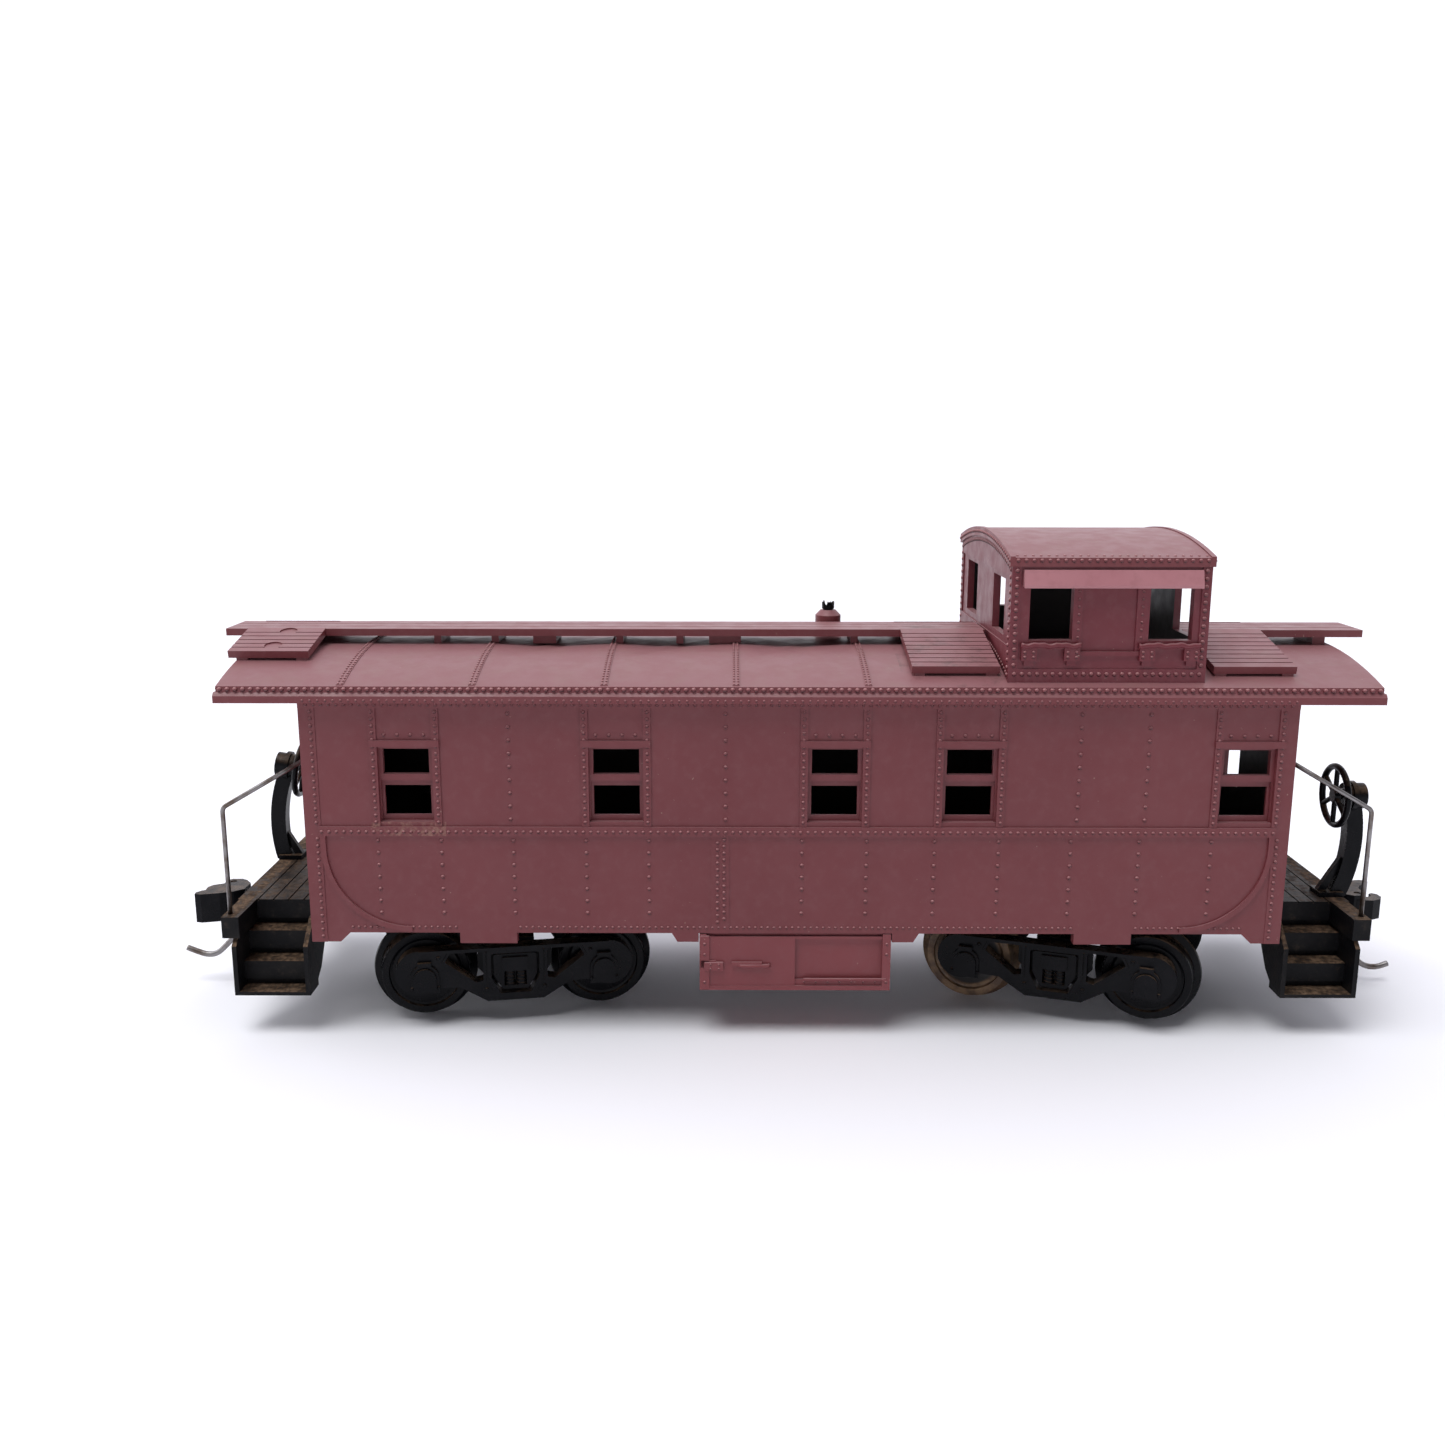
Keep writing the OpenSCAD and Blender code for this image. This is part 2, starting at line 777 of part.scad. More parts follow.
// A toolbox on the +Y side: sliding door on one half, recessed panel on the other
module toolbox() {
    y0 = 9.5;
    y1 = half_w + 0.05;
    y_panel = y1 - 0.55;
    low = toolbox_z[0];
    high = toolbox_z[1] - 0.3;
    color(oxide_red)
        difference() {
            union() {
                span([-toolbox_half_l, y0, low], [toolbox_half_l, y_panel, toolbox_z[1]]);
                span([-toolbox_half_l, y0, low], [-toolbox_half_l + 0.75, y1, toolbox_z[1]]);
                span([toolbox_half_l - 0.9, y0, low], [toolbox_half_l, y1, toolbox_z[1]]);
                span([-toolbox_half_l, y0, low], [toolbox_half_l, y1, low + 0.5]);
                span([-toolbox_half_l + 0.75, y_panel - eps, low + 0.5], [0, y1 - 0.1, high]);
                span([0, y_panel - eps, low + 0.5], [toolbox_half_l, y1 - 0.25, low + 1.15]);
                span([0, y_panel - eps, high - 0.35], [toolbox_half_l, y1 - 0.2, high]);
                span([-6.9, y1 - 0.2, 8.3], [-3.6, y1 + 0.25, 8.75]);
                span([-toolbox_half_l, y1 - 0.2, 8.1], [-8.6, y1 + 0.1, 8.9]);
            }
            span([-toolbox_half_l + 0.9, y0 - 1, low + 0.9],
                 [toolbox_half_l - 0.9, y0 + 4.2, toolbox_z[1] - 0.9]);
        }
    color(oxide_red)
        for (x = [-8, 8])
            span([x - 0.6, y0 + 0.4, toolbox_z[1] - eps], [x + 0.6, y0 + 1.6, floor_z[0]]);
}

module toolbox_far() {
    rotate([0, 0, 0])
        toolbox();
}

module toolbox_near() {
    mirror([0, 1, 0])
        toolbox();
}

// ---------- end platforms, drawn for end b ----------

// One flight of steps on the +Y side
module stairs() {
    x0 = stair_x[0];
    x1 = stair_x[1];
    apron_h = 2.1;
    sheet = 0.4;
    for (x = [x0, x1 - stair_plate_t])
        crosswise(x, x + stair_plate_t)
            polygon([[12.7, 12.75], [15.4, 10.3], [15.4, 4.65], [13.5, 4.65], [10.9, 6.3],
                     [9.3, 8.4], [stair_back_y, 10.6], [stair_back_y, 12.75]]);
    for (i = [0 : 2]) {
        front = half_w - i * run;
        back = front - tread_depth;
        top = bottom_tread_z + i * rise;
        span([x0, back, top - sheet], [x1, front, top]);
        span([x0, back - sheet / 2, top - sheet], [x1, back + sheet / 2, top + rise - sheet + eps]);
        if (i > 0)
            span([x0, front - 0.5, top - apron_h], [x1, front, top]);
    }
}

// The cross beam at the deck's outer edge, cut higher over the coupler box
module end_beam() {
    x1 = beam_x - 0.2;
    span([60.5, -15.2, 11.5], [x1, 15.2, deck_z]);
    both_sides()
        span([60.5, box_half_w + 0.4, 11.2], [x1, 15.2, 11.6]);
}

module platform_b_shape() {
    plank = 1.72;
    groove = 0.16;
    difference() {
        union() {
            span([floor_half_l + 0.1, -deck_edge_y, deck_z - 0.9], [beam_x, deck_edge_y, deck_z]);
            span([half_l + 0.1, -deck_edge_y, deck_z - 2.2],
                 [stair_x[1], -deck_edge_y + 0.5, deck_z]);
            span([half_l + 0.1, deck_edge_y - 0.5, deck_z - 2.2], [stair_x[1], deck_edge_y, deck_z]);
            end_beam();
            span([half_l + 0.1, -4.2, 11.5], [beam_x - 0.4, 4.2, deck_z - 0.9 + eps]);
            both_sides()
                stairs();
        }
        for (i = [0 : 4])
            translate([60.3 - i * plank, 0, deck_z])
                span([-groove / 2, -20, -0.2], [groove / 2, 20, 1]);
        translate([pivot_x, 0, 0])
            cylinder(h = 12.6, r = 0.5);
        for (y = [-rail_y, rail_y])
            translate([rail_x, y, deck_z - 1])
                cylinder(h = 2, r = wire_d / 2 + 0.05);
    }
}

module platform_b() {
    color(black_plastic)
        platform_b_shape();
}

module platform_a() {
    color(black_plastic)
        at_end(-1)
            platform_b_shape();
}

// ---------- handrails, drawn for end b on the +Y side ----------

// A bent wire from a hole in the end beam up to the end wall
module handrail() {
    bend_r = 0.8;
    bend_z = 25.14;
    slope = 59.7;
    color(steel)
        translate([0, rail_y, 0])
            wire(concat([[rail_x, deck_z - 0.9]],
                        [for (turn = [0 : slope / 3 : slope + 1])
                            [rail_x - bend_r * (1 - cos(turn)), bend_z + bend_r * sin(turn)]],
                        [[half_l + 0.17, 30.88]]),
                 wire_d / 2);
}

// ---------- brake gear, drawn for end b ----------

// Tilts what stands on the deck inward about the stand's foot
module leaning(angle) {
    translate([61.4, 0, deck_z])
        rotate([0, -angle, 0])
            translate([-61.4, 0, -deck_z])
                children();
}

module brake_stand_shape(lean) {
    y0 = stand_y - 0.8;
    y1 = stand_y + 0.8;
    difference() {
        union() {
            intersection() {
                leaning(lean)
                    intersection() {
                        difference() {
                            rod_y(y0, y1, stand_r, stand_mid[0], stand_mid[1], $fn = 120);
                            rod_y(y0 - 1, y1 + 1, stand_r - stand_w, stand_mid[0], stand_mid[1],
                                  $fn = 120);
                        }
                        span([60, -20, deck_z - 2], [70, 0, brake_z + 0.4]);
                    }
                span([55, -20, deck_z], [70, 0, 40]);
            }
            span([59.8, y0 - 0.5, deck_z], [beam_x, y1 + 0.5, deck_z + 0.55]);
            upright(stand_y - 0.35, stand_y + 0.35)
                polygon([[59.9, deck_z + 0.5], [60.9, deck_z + 0.5], [62.4, 17.2], [62.2, 18]]);
            leaning(lean) {
                rod_x(62, stand_end_x, 1.45, stand_y, brake_z);
                rod_x(62.6, 63.1, 1.7, stand_y, brake_z);
            }
        }
        leaning(lean)
            rod_x(60, 63.5, 0.4, stand_y, brake_z);
    }
}

module brake_wheel_shape() {
    spokes = 6;
    rim_r = 0.36;
    translate([brake_wheel_x, stand_y, brake_z])
        rotate([0, 90, 0]) {
            rotate_extrude($fn = 72)
                translate([brake_wheel_r, 0])
                    circle(r = rim_r, $fn = 24);
            translate([0, 0, -0.35])
                cylinder(h = 0.7, r = 0.75);
            for (i = [0 : spokes - 1])
                rotate([0, 0, i * 360 / spokes])
                    rotate([0, 90, 0])
                        cylinder(h = brake_wheel_r, r = 0.28, $fn = 16);
        }
    rod_x(brake_wheel_x, 63.5, 0.4, stand_y, brake_z);
}

// ---------- couplers, drawn for end b ----------

module coupler_box_shape() {
    roof_t = 0.5;
    difference() {
        union() {
            span([box_x[0], -box_half_w, pocket_z[0]], [box_x[1], box_half_w, pocket_z[1] + roof_t]);
        }
        span([box_x[0] + 0.6, -box_half_w + 0.7, pocket_z[0] - 1],
             [box_x[1] + 1, box_half_w - 0.7, pocket_z[1]]);
    }
    difference() {
        translate([pivot_x, 0, pocket_z[0]])
            cylinder(h = pocket_z[1] - pocket_z[0] + eps, r = post_r);
        translate([pivot_x, 0, 0])
            cylinder(h = 30, r = 0.5);
    }
}

module coupler_box_part() {
    color(black_plastic)
        difference() {
            coupler_box_shape();
            translate([pivot_x, 0, 0])
                cylinder(h = 30, r = 0.5);
        }
}

module coupler_lid_part() {
    color(black_plastic)
        difference() {
            span([box_x[0], -box_half_w, pocket_z[0] - lid_t], [box_x[1], box_half_w, pocket_z[0]]);
            translate([pivot_x, 0, 0])
                cylinder(h = 30, r = 0.5);
        }
}

module coupler_screw_part() {
    head_z = pocket_z[0] - lid_t;
    translate([pivot_x, 0, 0])
        difference() {
            union() {
                translate([0, 0, head_z - 0.5])
                    cylinder(h = 0.5, r = 1.1);
                translate([0, 0, head_z - eps])
                    cylinder(h = 12.6 - head_z, r = 0.5);
            }
            span([-1.2, -0.12, 0], [1.2, 0.12, head_z - 0.25]);
        }
}

// Head, shank and centring whiskers in one moulding
module coupler_part(pin_x) {
    head_z = [coupler_z - 1.6, coupler_z + 1.9];
    color(black_plastic)
        difference() {
            union() {
                translate([pivot_x, 0, coupler_z - shank_t / 2])
                    cylinder(h = shank_t, r = 1.9);
                span([pivot_x, -1.1, coupler_z - shank_t / 2], [66, 1.1, coupler_z + shank_t / 2]);
                for (side = [-1, 1])
                    translate([pivot_x + 2.5, side * 0.9, coupler_z - 0.4])
                        rotate([0, 0, side * 9])
                            translate([0, -0.1, 0])
                                cube([3.6, 0.25, 0.8]);
                translate([0, 0, head_z[0]])
                    linear_extrude(height = head_z[1] - head_z[0])
                        head_outline();
            }
            translate([pivot_x, 0, 0])
                cylinder(h = 30, r = post_r + 0.05);
            translate([0, 0, coupler_z - 1.2])
                linear_extrude(height = 2.6)
                    knuckle_room();
            translate(concat(knuckle_pivot, 0))
                cylinder(h = 30, r = 0.4);
            translate([pin_x, 0.3, 0])
                cylinder(h = coupler_z - 0.35, r = pin_r + 0.02);
        }
}

// Plan of the coupler head: the guard arm on the +Y side, knuckle lugs on the -Y side
module head_outline() {
    polygon([[64.8, -1.1], [65.6, -2.2], [66.3, -2.65], [67.5, -2.65], [67.95, -1.9], [67.9, -0.8],
             [67.95, 0.15], [68.5, 1], [69.6, 1.7], [70.1, 2.35], [70.05, 2.95], [69.3, 3.15],
             [67.3, 2.65], [65.8, 2.05], [64.8, 1.1]]);
}

// Room for the knuckle between the two lugs, at every angle it can take
module knuckle_room() {
    translate(knuckle_pivot)
        circle(r = 1.1);
    polygon([[66.25, -4], [67.2, -0.75], [67.8, 0.08], [72, 0.08], [72, -4]]);
}

module knuckle_part() {
    color(black_plastic)
        union() {
            translate([0, 0, coupler_z - 1.1])
                linear_extrude(height = 2.4) {
                    translate(knuckle_pivot)
                        circle(r = 0.95);
                    polygon([[67.05, -2.58], [68.6, -2.65], [69.7, -2.1], [70.1, -1.3], [70, -0.35],
                             [69.55, 0], [69.1, -0.25], [69.05, -1], [68.55, -1.35], [67.8, -1.3]]);
                }
            translate(concat(knuckle_pivot, coupler_z - 1.5))
                cylinder(h = 3.3, r = 0.35);
        }
}

// A bent steel pin that hangs from the head
module trip_pin_part(points) {
    color(steel)
        translate([0, 0.3, 0])
            wire(points, pin_r);
}

// ---------- trucks, drawn round the truck's own centre ----------

// Which way a truck is turned, and where its centre is; end is -1 at end a and 1 at end b
module truck_place(end) {
    translate([end * truck_x, 0, 0])
        rotate([0, 0, end < 0 ? truck_a_turn : truck_b_turn])
            children();
}

module frame_outline() {
    end_r = 2.6;
    end_z = axle_z + 0.8;
    end_x = half_base + 0.6;
    polygon(concat(arc_points([end_x, end_z], end_r, -135, 90, 15),
                   arc_points([-end_x, end_z], end_r, 90, 315, 15),
                   [[-6.1, 4.7], [-3.1, frame_bottom_z], [3.1, frame_bottom_z], [6.1, 4.7]]));
}

// The three-cornered opening in the arm at +X, drawn larger by grow
module arm_window(grow) {
    round_outline([[3.75 - grow, 5.55 - grow], [4.3, 5.45 - grow], [7.45 + grow, 7.85 - grow / 2],
                   [7.0 + grow / 2, 8.6 + grow], [3.75 - grow, 8.6 + grow]], 0.2);
}

module window_outline(inset) {
    r = 0.25;
    grow = -inset - r;
    round_outline([[-1.8 - grow, 3.8 - grow], [1.8 + grow, 3.8 - grow], [2.65 + grow, 5.8],
                   [2.65 + grow, 8.5 + grow], [-2.65 - grow, 8.5 + grow], [-2.65 - grow, 5.8]], r);
}

// A sideframe on the +Y side, with its two journal boxes
module sideframe() {
    color(black_plastic)
        difference() {
            union() {
                upright(frame_y[0], frame_y[1])
                    frame_outline();
                for (end = [-1, 1])
                    journal_box(end * half_base);
                sideframe_ribs();
            }
            upright(frame_y[0] - 1, frame_y[1] + 2)
                window_outline(0);
            for (end = [-1, 1])
                upright(frame_y[0] - 1, frame_y[1] + 1)
                    mirror([end < 0 ? 1 : 0, 0])
                        arm_window(0);
            for (end = [-1, 1]) {
                rod_y(frame_y[0] - 1, frame_y[1] - 0.15, stub_r + 0.07, end * half_base, axle_z);
            }
        }
}

// Raised edges along the top chord and round the spring window
module sideframe_ribs() {
    rib = 0.25;
    difference() {
        upright(frame_y[1] - eps, frame_y[1] + rib)
            window_outline(-0.45);
        upright(frame_y[1] - 1, frame_y[1] + 1)
            window_outline(0);
    }
    span([-half_base - 0.6, frame_y[1] - eps, frame_top_z - 0.35],
         [half_base + 0.6, frame_y[1] + rib, frame_top_z]);
    for (end = [-1, 1])
        mirror([end < 0 ? 1 : 0, 0, 0])
            difference() {
                upright(frame_y[1] - eps, frame_y[1] + rib - 0.05)
                    arm_window(0.28);
                upright(frame_y[1] - 1, frame_y[1] + 1)
                    arm_window(0);
            }
}

// A journal box with an arched lid
module journal_box(x) {
    y = frame_y[1];
    translate([x, 0, 0]) {
        upright(y - eps, y + 0.3)
            arch_outline(1.55, axle_z - 1.5, axle_z + 0.3);
        upright(y, y + 0.6)
            arch_outline(1.25, axle_z - 1.2, axle_z + 0.2);
    }
    span([x - 0.75, y + 0.1, axle_z + 1.75], [x + 0.75, y + 0.55, axle_z + 2.15]);
}

// The bolster beam and its two ends, which show in the sideframe windows above their springs
module bolster() {
    color(black_plastic)
        difference() {
            union() {
                span([-2.2, -frame_y[0] - 0.2, bolster_z[0]], [2.2, frame_y[0] + 0.2, 8.35]);
                span([-2.2, -frame_y[0] + 0.1, 8.2], [2.2, frame_y[0] - 0.1, bolster_z[1]]);
                both_sides()
                    bolster_end();
            }
            cylinder(h = 30, r = screw_r + 0.08);
        }
}

module bolster_end() {
    y0 = frame_y[0] + 0.05;
    difference() {
        upright(y0, frame_y[1] - 0.2)
            window_outline(0.28);
        span([-1.25, frame_y[1] - 1, 4.5], [1.25, frame_y[1] + 1, 6.3]);
    }
    span([-1.4, y0, 6.3], [1.4, frame_y[1] + 0.1, 7.9]);
    for (x = [-0.62, 0.62])
        translate([x, frame_y[1] - 0.7, 4.4])
            cylinder(h = 2, r = 0.5, $fn = 24);
}

// One pan-head screw up through each bolster
module truck_screws() {
    head_r = 1.6;
    color(steel)
        for (x = [-truck_x, truck_x])
            translate([x, 0, 0])
                difference() {
                    union() {
                        translate([0, 0, bolster_z[0] - 0.95])
                            cylinder(h = 0.9, r = head_r);
                        translate([0, 0, bolster_z[0] - 0.1])
                            cylinder(h = 12.9 - bolster_z[0] + 0.1, r = screw_r);
                    }
                    span([-2, -0.2, 0], [2, 0.2, bolster_z[0] - 0.5]);
                }
}

// An axle with stub ends that run in the sideframes
module axle() {
    stub_y = frame_y[1] - 0.3;
    wheel_out = back_to_back / 2 + wheel_w;
    color(steel)
        union() {
            rod_y(-wheel_out - 0.15, wheel_out + 0.15, axle_r, 0, axle_z);
            rod_y(-stub_y, stub_y, stub_r, 0, axle_z);
        }
}

// A flanged wheel on the +Y side, turned about its axle
module wheel() {
    y0 = back_to_back / 2;
    translate([0, y0, axle_z])
        rotate([-90, 0, 0])
            rotate_extrude($fn = 96)
                difference() {
                    polygon([[axle_r, -0.1], [1.9, -0.1], [2.1, 0.35], [3.9, 0.35], [4.1, 0],
                             [flange_r - 0.25, 0], [flange_r, 0.25], [flange_r - 0.1, 0.6],
                             [tread_r + 0.1, 0.85], [tread_r, 1.1], [tread_r - 0.1, wheel_w - 0.1],
                             [tread_r - 0.2, wheel_w], [4.05, wheel_w], [3.95, wheel_w - 0.35],
                             [3.7, wheel_w - 0.4], [2.4, wheel_w - 0.15], [1.5, wheel_w - 0.3],
                             [1.3, wheel_w], [axle_r, wheel_w]]);
                }
}

// Places an axle or wheel; end is -1 at end a and 1 at end b, which is -1 or 1 for its axle
module wheelset_place(end, which) {
    truck_place(end)
        translate([which * half_base, 0, 0])
            children();
}

module near_side() {
    mirror([0, 1, 0])
        children();
}

// ---------- what is drawn ----------

body_shell();
roof();
cupola_body();
cupola_roof();
cupola_visors();
roof_walk_long();
roof_walk_short();
smokejack_base();
smokejack_stub();
underframe();
floor_weight();
floor_screws();
toolbox_near();
toolbox_far();
platform_a();
platform_b();
at_end(-1) handrail();  // handrail_a_near
at_end(-1) near_side() handrail();  // handrail_a_far
near_side() handrail();  // handrail_b_near
handrail();  // handrail_b_far
color(black_plastic) at_end(-1) brake_stand_shape(stand_a_lean);  // brake_stand_a
color(black_plastic) brake_stand_shape(0);  // brake_stand_b
color(black_plastic) at_end(-1) leaning(stand_a_lean) brake_wheel_shape();  // brake_wheel_a
color(black_plastic) brake_wheel_shape();  // brake_wheel_b
truck_screws();
at_end(-1) coupler_box_part();  // coupler_box_a
coupler_box_part();  // coupler_box_b
at_end(-1) coupler_lid_part();  // coupler_lid_a
coupler_lid_part();  // coupler_lid_b
color(steel)  // coupler_screws
        for (side = [-1, 1])
            at_end(side)
                coupler_screw_part();
truck_place(-1) near_side() sideframe();  // sideframe_a_near
truck_place(-1) sideframe();  // sideframe_a_far
truck_place(-1) bolster();  // bolster_a
truck_place(1) near_side() sideframe();  // sideframe_b_near
truck_place(1) sideframe();  // sideframe_b_far
truck_place(1) bolster();  // bolster_b
wheelset_place(-1, -1) axle();  // axle_a1
wheelset_place(-1, 1) axle();  // axle_a2
wheelset_place(1, -1) axle();  // axle_b1
wheelset_place(1, 1) axle();  // axle_b2
color(black_plastic) wheelset_place(-1, -1) near_side() wheel();  // wheel_a1_near
color(black_plastic) wheelset_place(-1, -1) wheel();  // wheel_a1_far
color(black_plastic) wheelset_place(-1, 1) near_side() wheel();  // wheel_a2_near
color(black_plastic) wheelset_place(-1, 1) wheel();  // wheel_a2_far
color(brass) wheelset_place(1, -1) near_side() wheel();  // wheel_b1_near
color(black_plastic) wheelset_place(1, -1) wheel();  // wheel_b1_far
color(black_plastic) wheelset_place(1, 1) near_side() wheel();  // wheel_b2_near
color(black_plastic) wheelset_place(1, 1) wheel();  // wheel_b2_far
at_end(-1) coupler_part(pin_xs[0]);  // coupler_a
coupler_part(pin_xs[1]);  // coupler_b
at_end(-1) knuckle_part();  // knuckle_a
knuckle_part();  // knuckle_b
at_end(-1) trip_pin_part(pin_a_points);  // trip_pin_a
trip_pin_part(pin_b_points);  // trip_pin_b
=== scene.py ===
import json
import math

import bmesh
import bpy
from mathutils import Matrix, Vector


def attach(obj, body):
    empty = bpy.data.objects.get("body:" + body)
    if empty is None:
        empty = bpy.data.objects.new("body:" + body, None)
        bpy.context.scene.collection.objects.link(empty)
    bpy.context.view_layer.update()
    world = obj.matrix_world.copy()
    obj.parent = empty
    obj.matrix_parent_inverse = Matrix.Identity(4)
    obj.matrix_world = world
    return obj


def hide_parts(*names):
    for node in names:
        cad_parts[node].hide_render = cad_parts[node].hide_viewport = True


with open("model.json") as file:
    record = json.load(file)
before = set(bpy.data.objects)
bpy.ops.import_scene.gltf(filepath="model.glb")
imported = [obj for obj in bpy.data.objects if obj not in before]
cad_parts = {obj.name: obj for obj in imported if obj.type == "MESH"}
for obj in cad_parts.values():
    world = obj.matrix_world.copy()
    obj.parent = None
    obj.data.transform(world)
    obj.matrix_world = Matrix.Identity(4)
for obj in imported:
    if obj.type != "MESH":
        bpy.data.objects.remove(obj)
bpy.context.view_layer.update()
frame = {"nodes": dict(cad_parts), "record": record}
scene = bpy.context.scene
nodes = frame["nodes"]
MM = 0.001

# ---------- sizes of the car, in millimetres ----------

HALF_L, HALF_W = 52.5, 15.4
STRIP, BELT = 0.15, 0.28  # how far the thin strips and the belt rail stand out from the walls
WINDOWS = (-41.5, -19.2, 4.0, 18.3, 47.6)
ROOF_HALF_W, ROOF_RISE, ROOF_TOP = 16.35, 2.49, 41.84
ROOF_R = (ROOF_HALF_W ** 2 + ROOF_RISE ** 2) / (2 * ROOF_RISE)
CUPOLA_ENDS, CUPOLA_HALF_W = (21.94, 42.2), 15.1
CUPOLA_R, CUPOLA_TOP = 64.24, 54.55
TRUCKS = {"a": (-33.2, 10.0), "b": (33.2, -19.0)}  # place along the car, turn in degrees
AXLE_U, AXLE_Z = 9.9, 5.8
SIDES = ((-1, "near"), (1, "far"))


def roof_z(y, lift=0.0):
    r = ROOF_R + lift
    return ROOF_TOP - ROOF_R + math.sqrt(r * r - y * y)


def cupola_z(y, inset=0.0):
    return CUPOLA_TOP - CUPOLA_R + math.sqrt((CUPOLA_R - inset) ** 2 - y * y)


def truck_frame(end):
    centre, turn = TRUCKS[end]
    return Matrix.Translation((centre, 0, 0)) @ Matrix.Rotation(math.radians(turn), 4, "Z")


def spread(low, high, pitch):
    """Even steps from low to high, about a pitch apart."""
    n = max(1, round((high - low) / pitch))
    return [low + (high - low) * i / n for i in range(n + 1)]


def turned(point, half_turn):
    """End b's point, or the same point turned to end a."""
    x, y, z = point
    return (-x, -y, z) if half_turn else (x, y, z)


# ---------- camera, floor and light ----------

def add_camera():
    cam = bpy.data.cameras.new("camera")
    cam.sensor_width, cam.lens = 36.0, 34.05
    cam.clip_start, cam.clip_end = 0.005, 20.0
    obj = bpy.data.objects.new("camera", cam)
    yaw, pitch, roll = -0.0036, 0.2109, -0.001
    ahead = Vector((math.sin(yaw) * math.cos(pitch), math.cos(yaw) * math.cos(pitch),
                    -math.sin(pitch)))
    right = ahead.cross(Vector((0, 0, 1))).normalized()
    up = right.cross(ahead)
    turn = Matrix.Rotation(roll, 3, ahead)
    right, up = turn @ right, turn @ up
    spot = Vector((-7.42, -155.67, 65.42)) * MM
    obj.matrix_world = Matrix((
        (right.x, up.x, -ahead.x, spot.x),
        (right.y, up.y, -ahead.y, spot.y),
        (right.z, up.z, -ahead.z, spot.z),
        (0, 0, 0, 1)))
    scene.collection.objects.link(obj)
    scene.camera = obj


def add_area_light(name, spot, target, size, power):
    light = bpy.data.lights.new(name, "AREA")
    light.shape = "RECTANGLE"
    light.size, light.size_y = size
    light.energy = power
    obj = bpy.data.objects.new(name, light)
    obj.location = spot
    obj.rotation_euler = (Vector(target) - Vector(spot)).to_track_quat("-Z", "Y").to_euler()
    scene.collection.objects.link(obj)


def add_sun(name, towards, power, angle):
    """Even light from one side of the sky, with soft-edged shadows."""
    light = bpy.data.lights.new(name, "SUN")
    light.energy = power
    light.angle = math.radians(angle)
    obj = bpy.data.objects.new(name, light)
    obj.rotation_euler = Vector(towards).to_track_quat("-Z", "Y").to_euler()
    scene.collection.objects.link(obj)


def add_world():
    """A white room that is dark only high up behind the camera, so black parts stay black."""
    world = bpy.data.worlds.new("studio")
    scene.world = world
    world.use_nodes = True
    tree = world.node_tree
    place = tree.nodes.new("ShaderNodeTexCoord")
    parts = tree.nodes.new("ShaderNodeSeparateXYZ")
    fade = tree.nodes.new("ShaderNodeMapRange")
    darkest = tree.nodes.new("ShaderNodeMapRange")
    ranges = ((fade, (-0.55, 0.25, 0.0, 1.08)), (darkest, (0.22, 0.42, 0.75, 0.05)))
    for node, values in ranges:
        for socket, value in zip(("From Min", "From Max", "To Min", "To Max"), values):
            node.inputs[socket].default_value = value
    back = tree.nodes["Background"]
    back.inputs["Color"].default_value = (0.95, 0.94, 1.0, 1)
    tree.links.new(place.outputs["Generated"], parts.inputs["Vector"])
    tree.links.new(parts.outputs["Y"], fade.inputs["Value"])
    tree.links.new(parts.outputs["Z"], darkest.inputs["Value"])
    tree.links.new(darkest.outputs["Result"], fade.inputs["To Min"])
    tree.links.new(fade.outputs["Result"], back.inputs["Strength"])


def add_studio():
    add_world()
    add_sun("key_light", towards=(0.26, 0.30, -1.0), power=2.0, angle=35)
    add_area_light("left_light", (-0.75, 0.10, 0.30), target=(-0.05, 0, 0.03),
                   size=(0.5, 0.4), power=1.6)
    bpy.ops.mesh.primitive_plane_add(size=12.0, location=(0, 0, 0))
    floor = bpy.context.active_object
    floor.name = "floor"
    floor.data.materials.append(floor_material())
    scene.view_settings.view_transform = "Standard"


# ---------- materials ----------

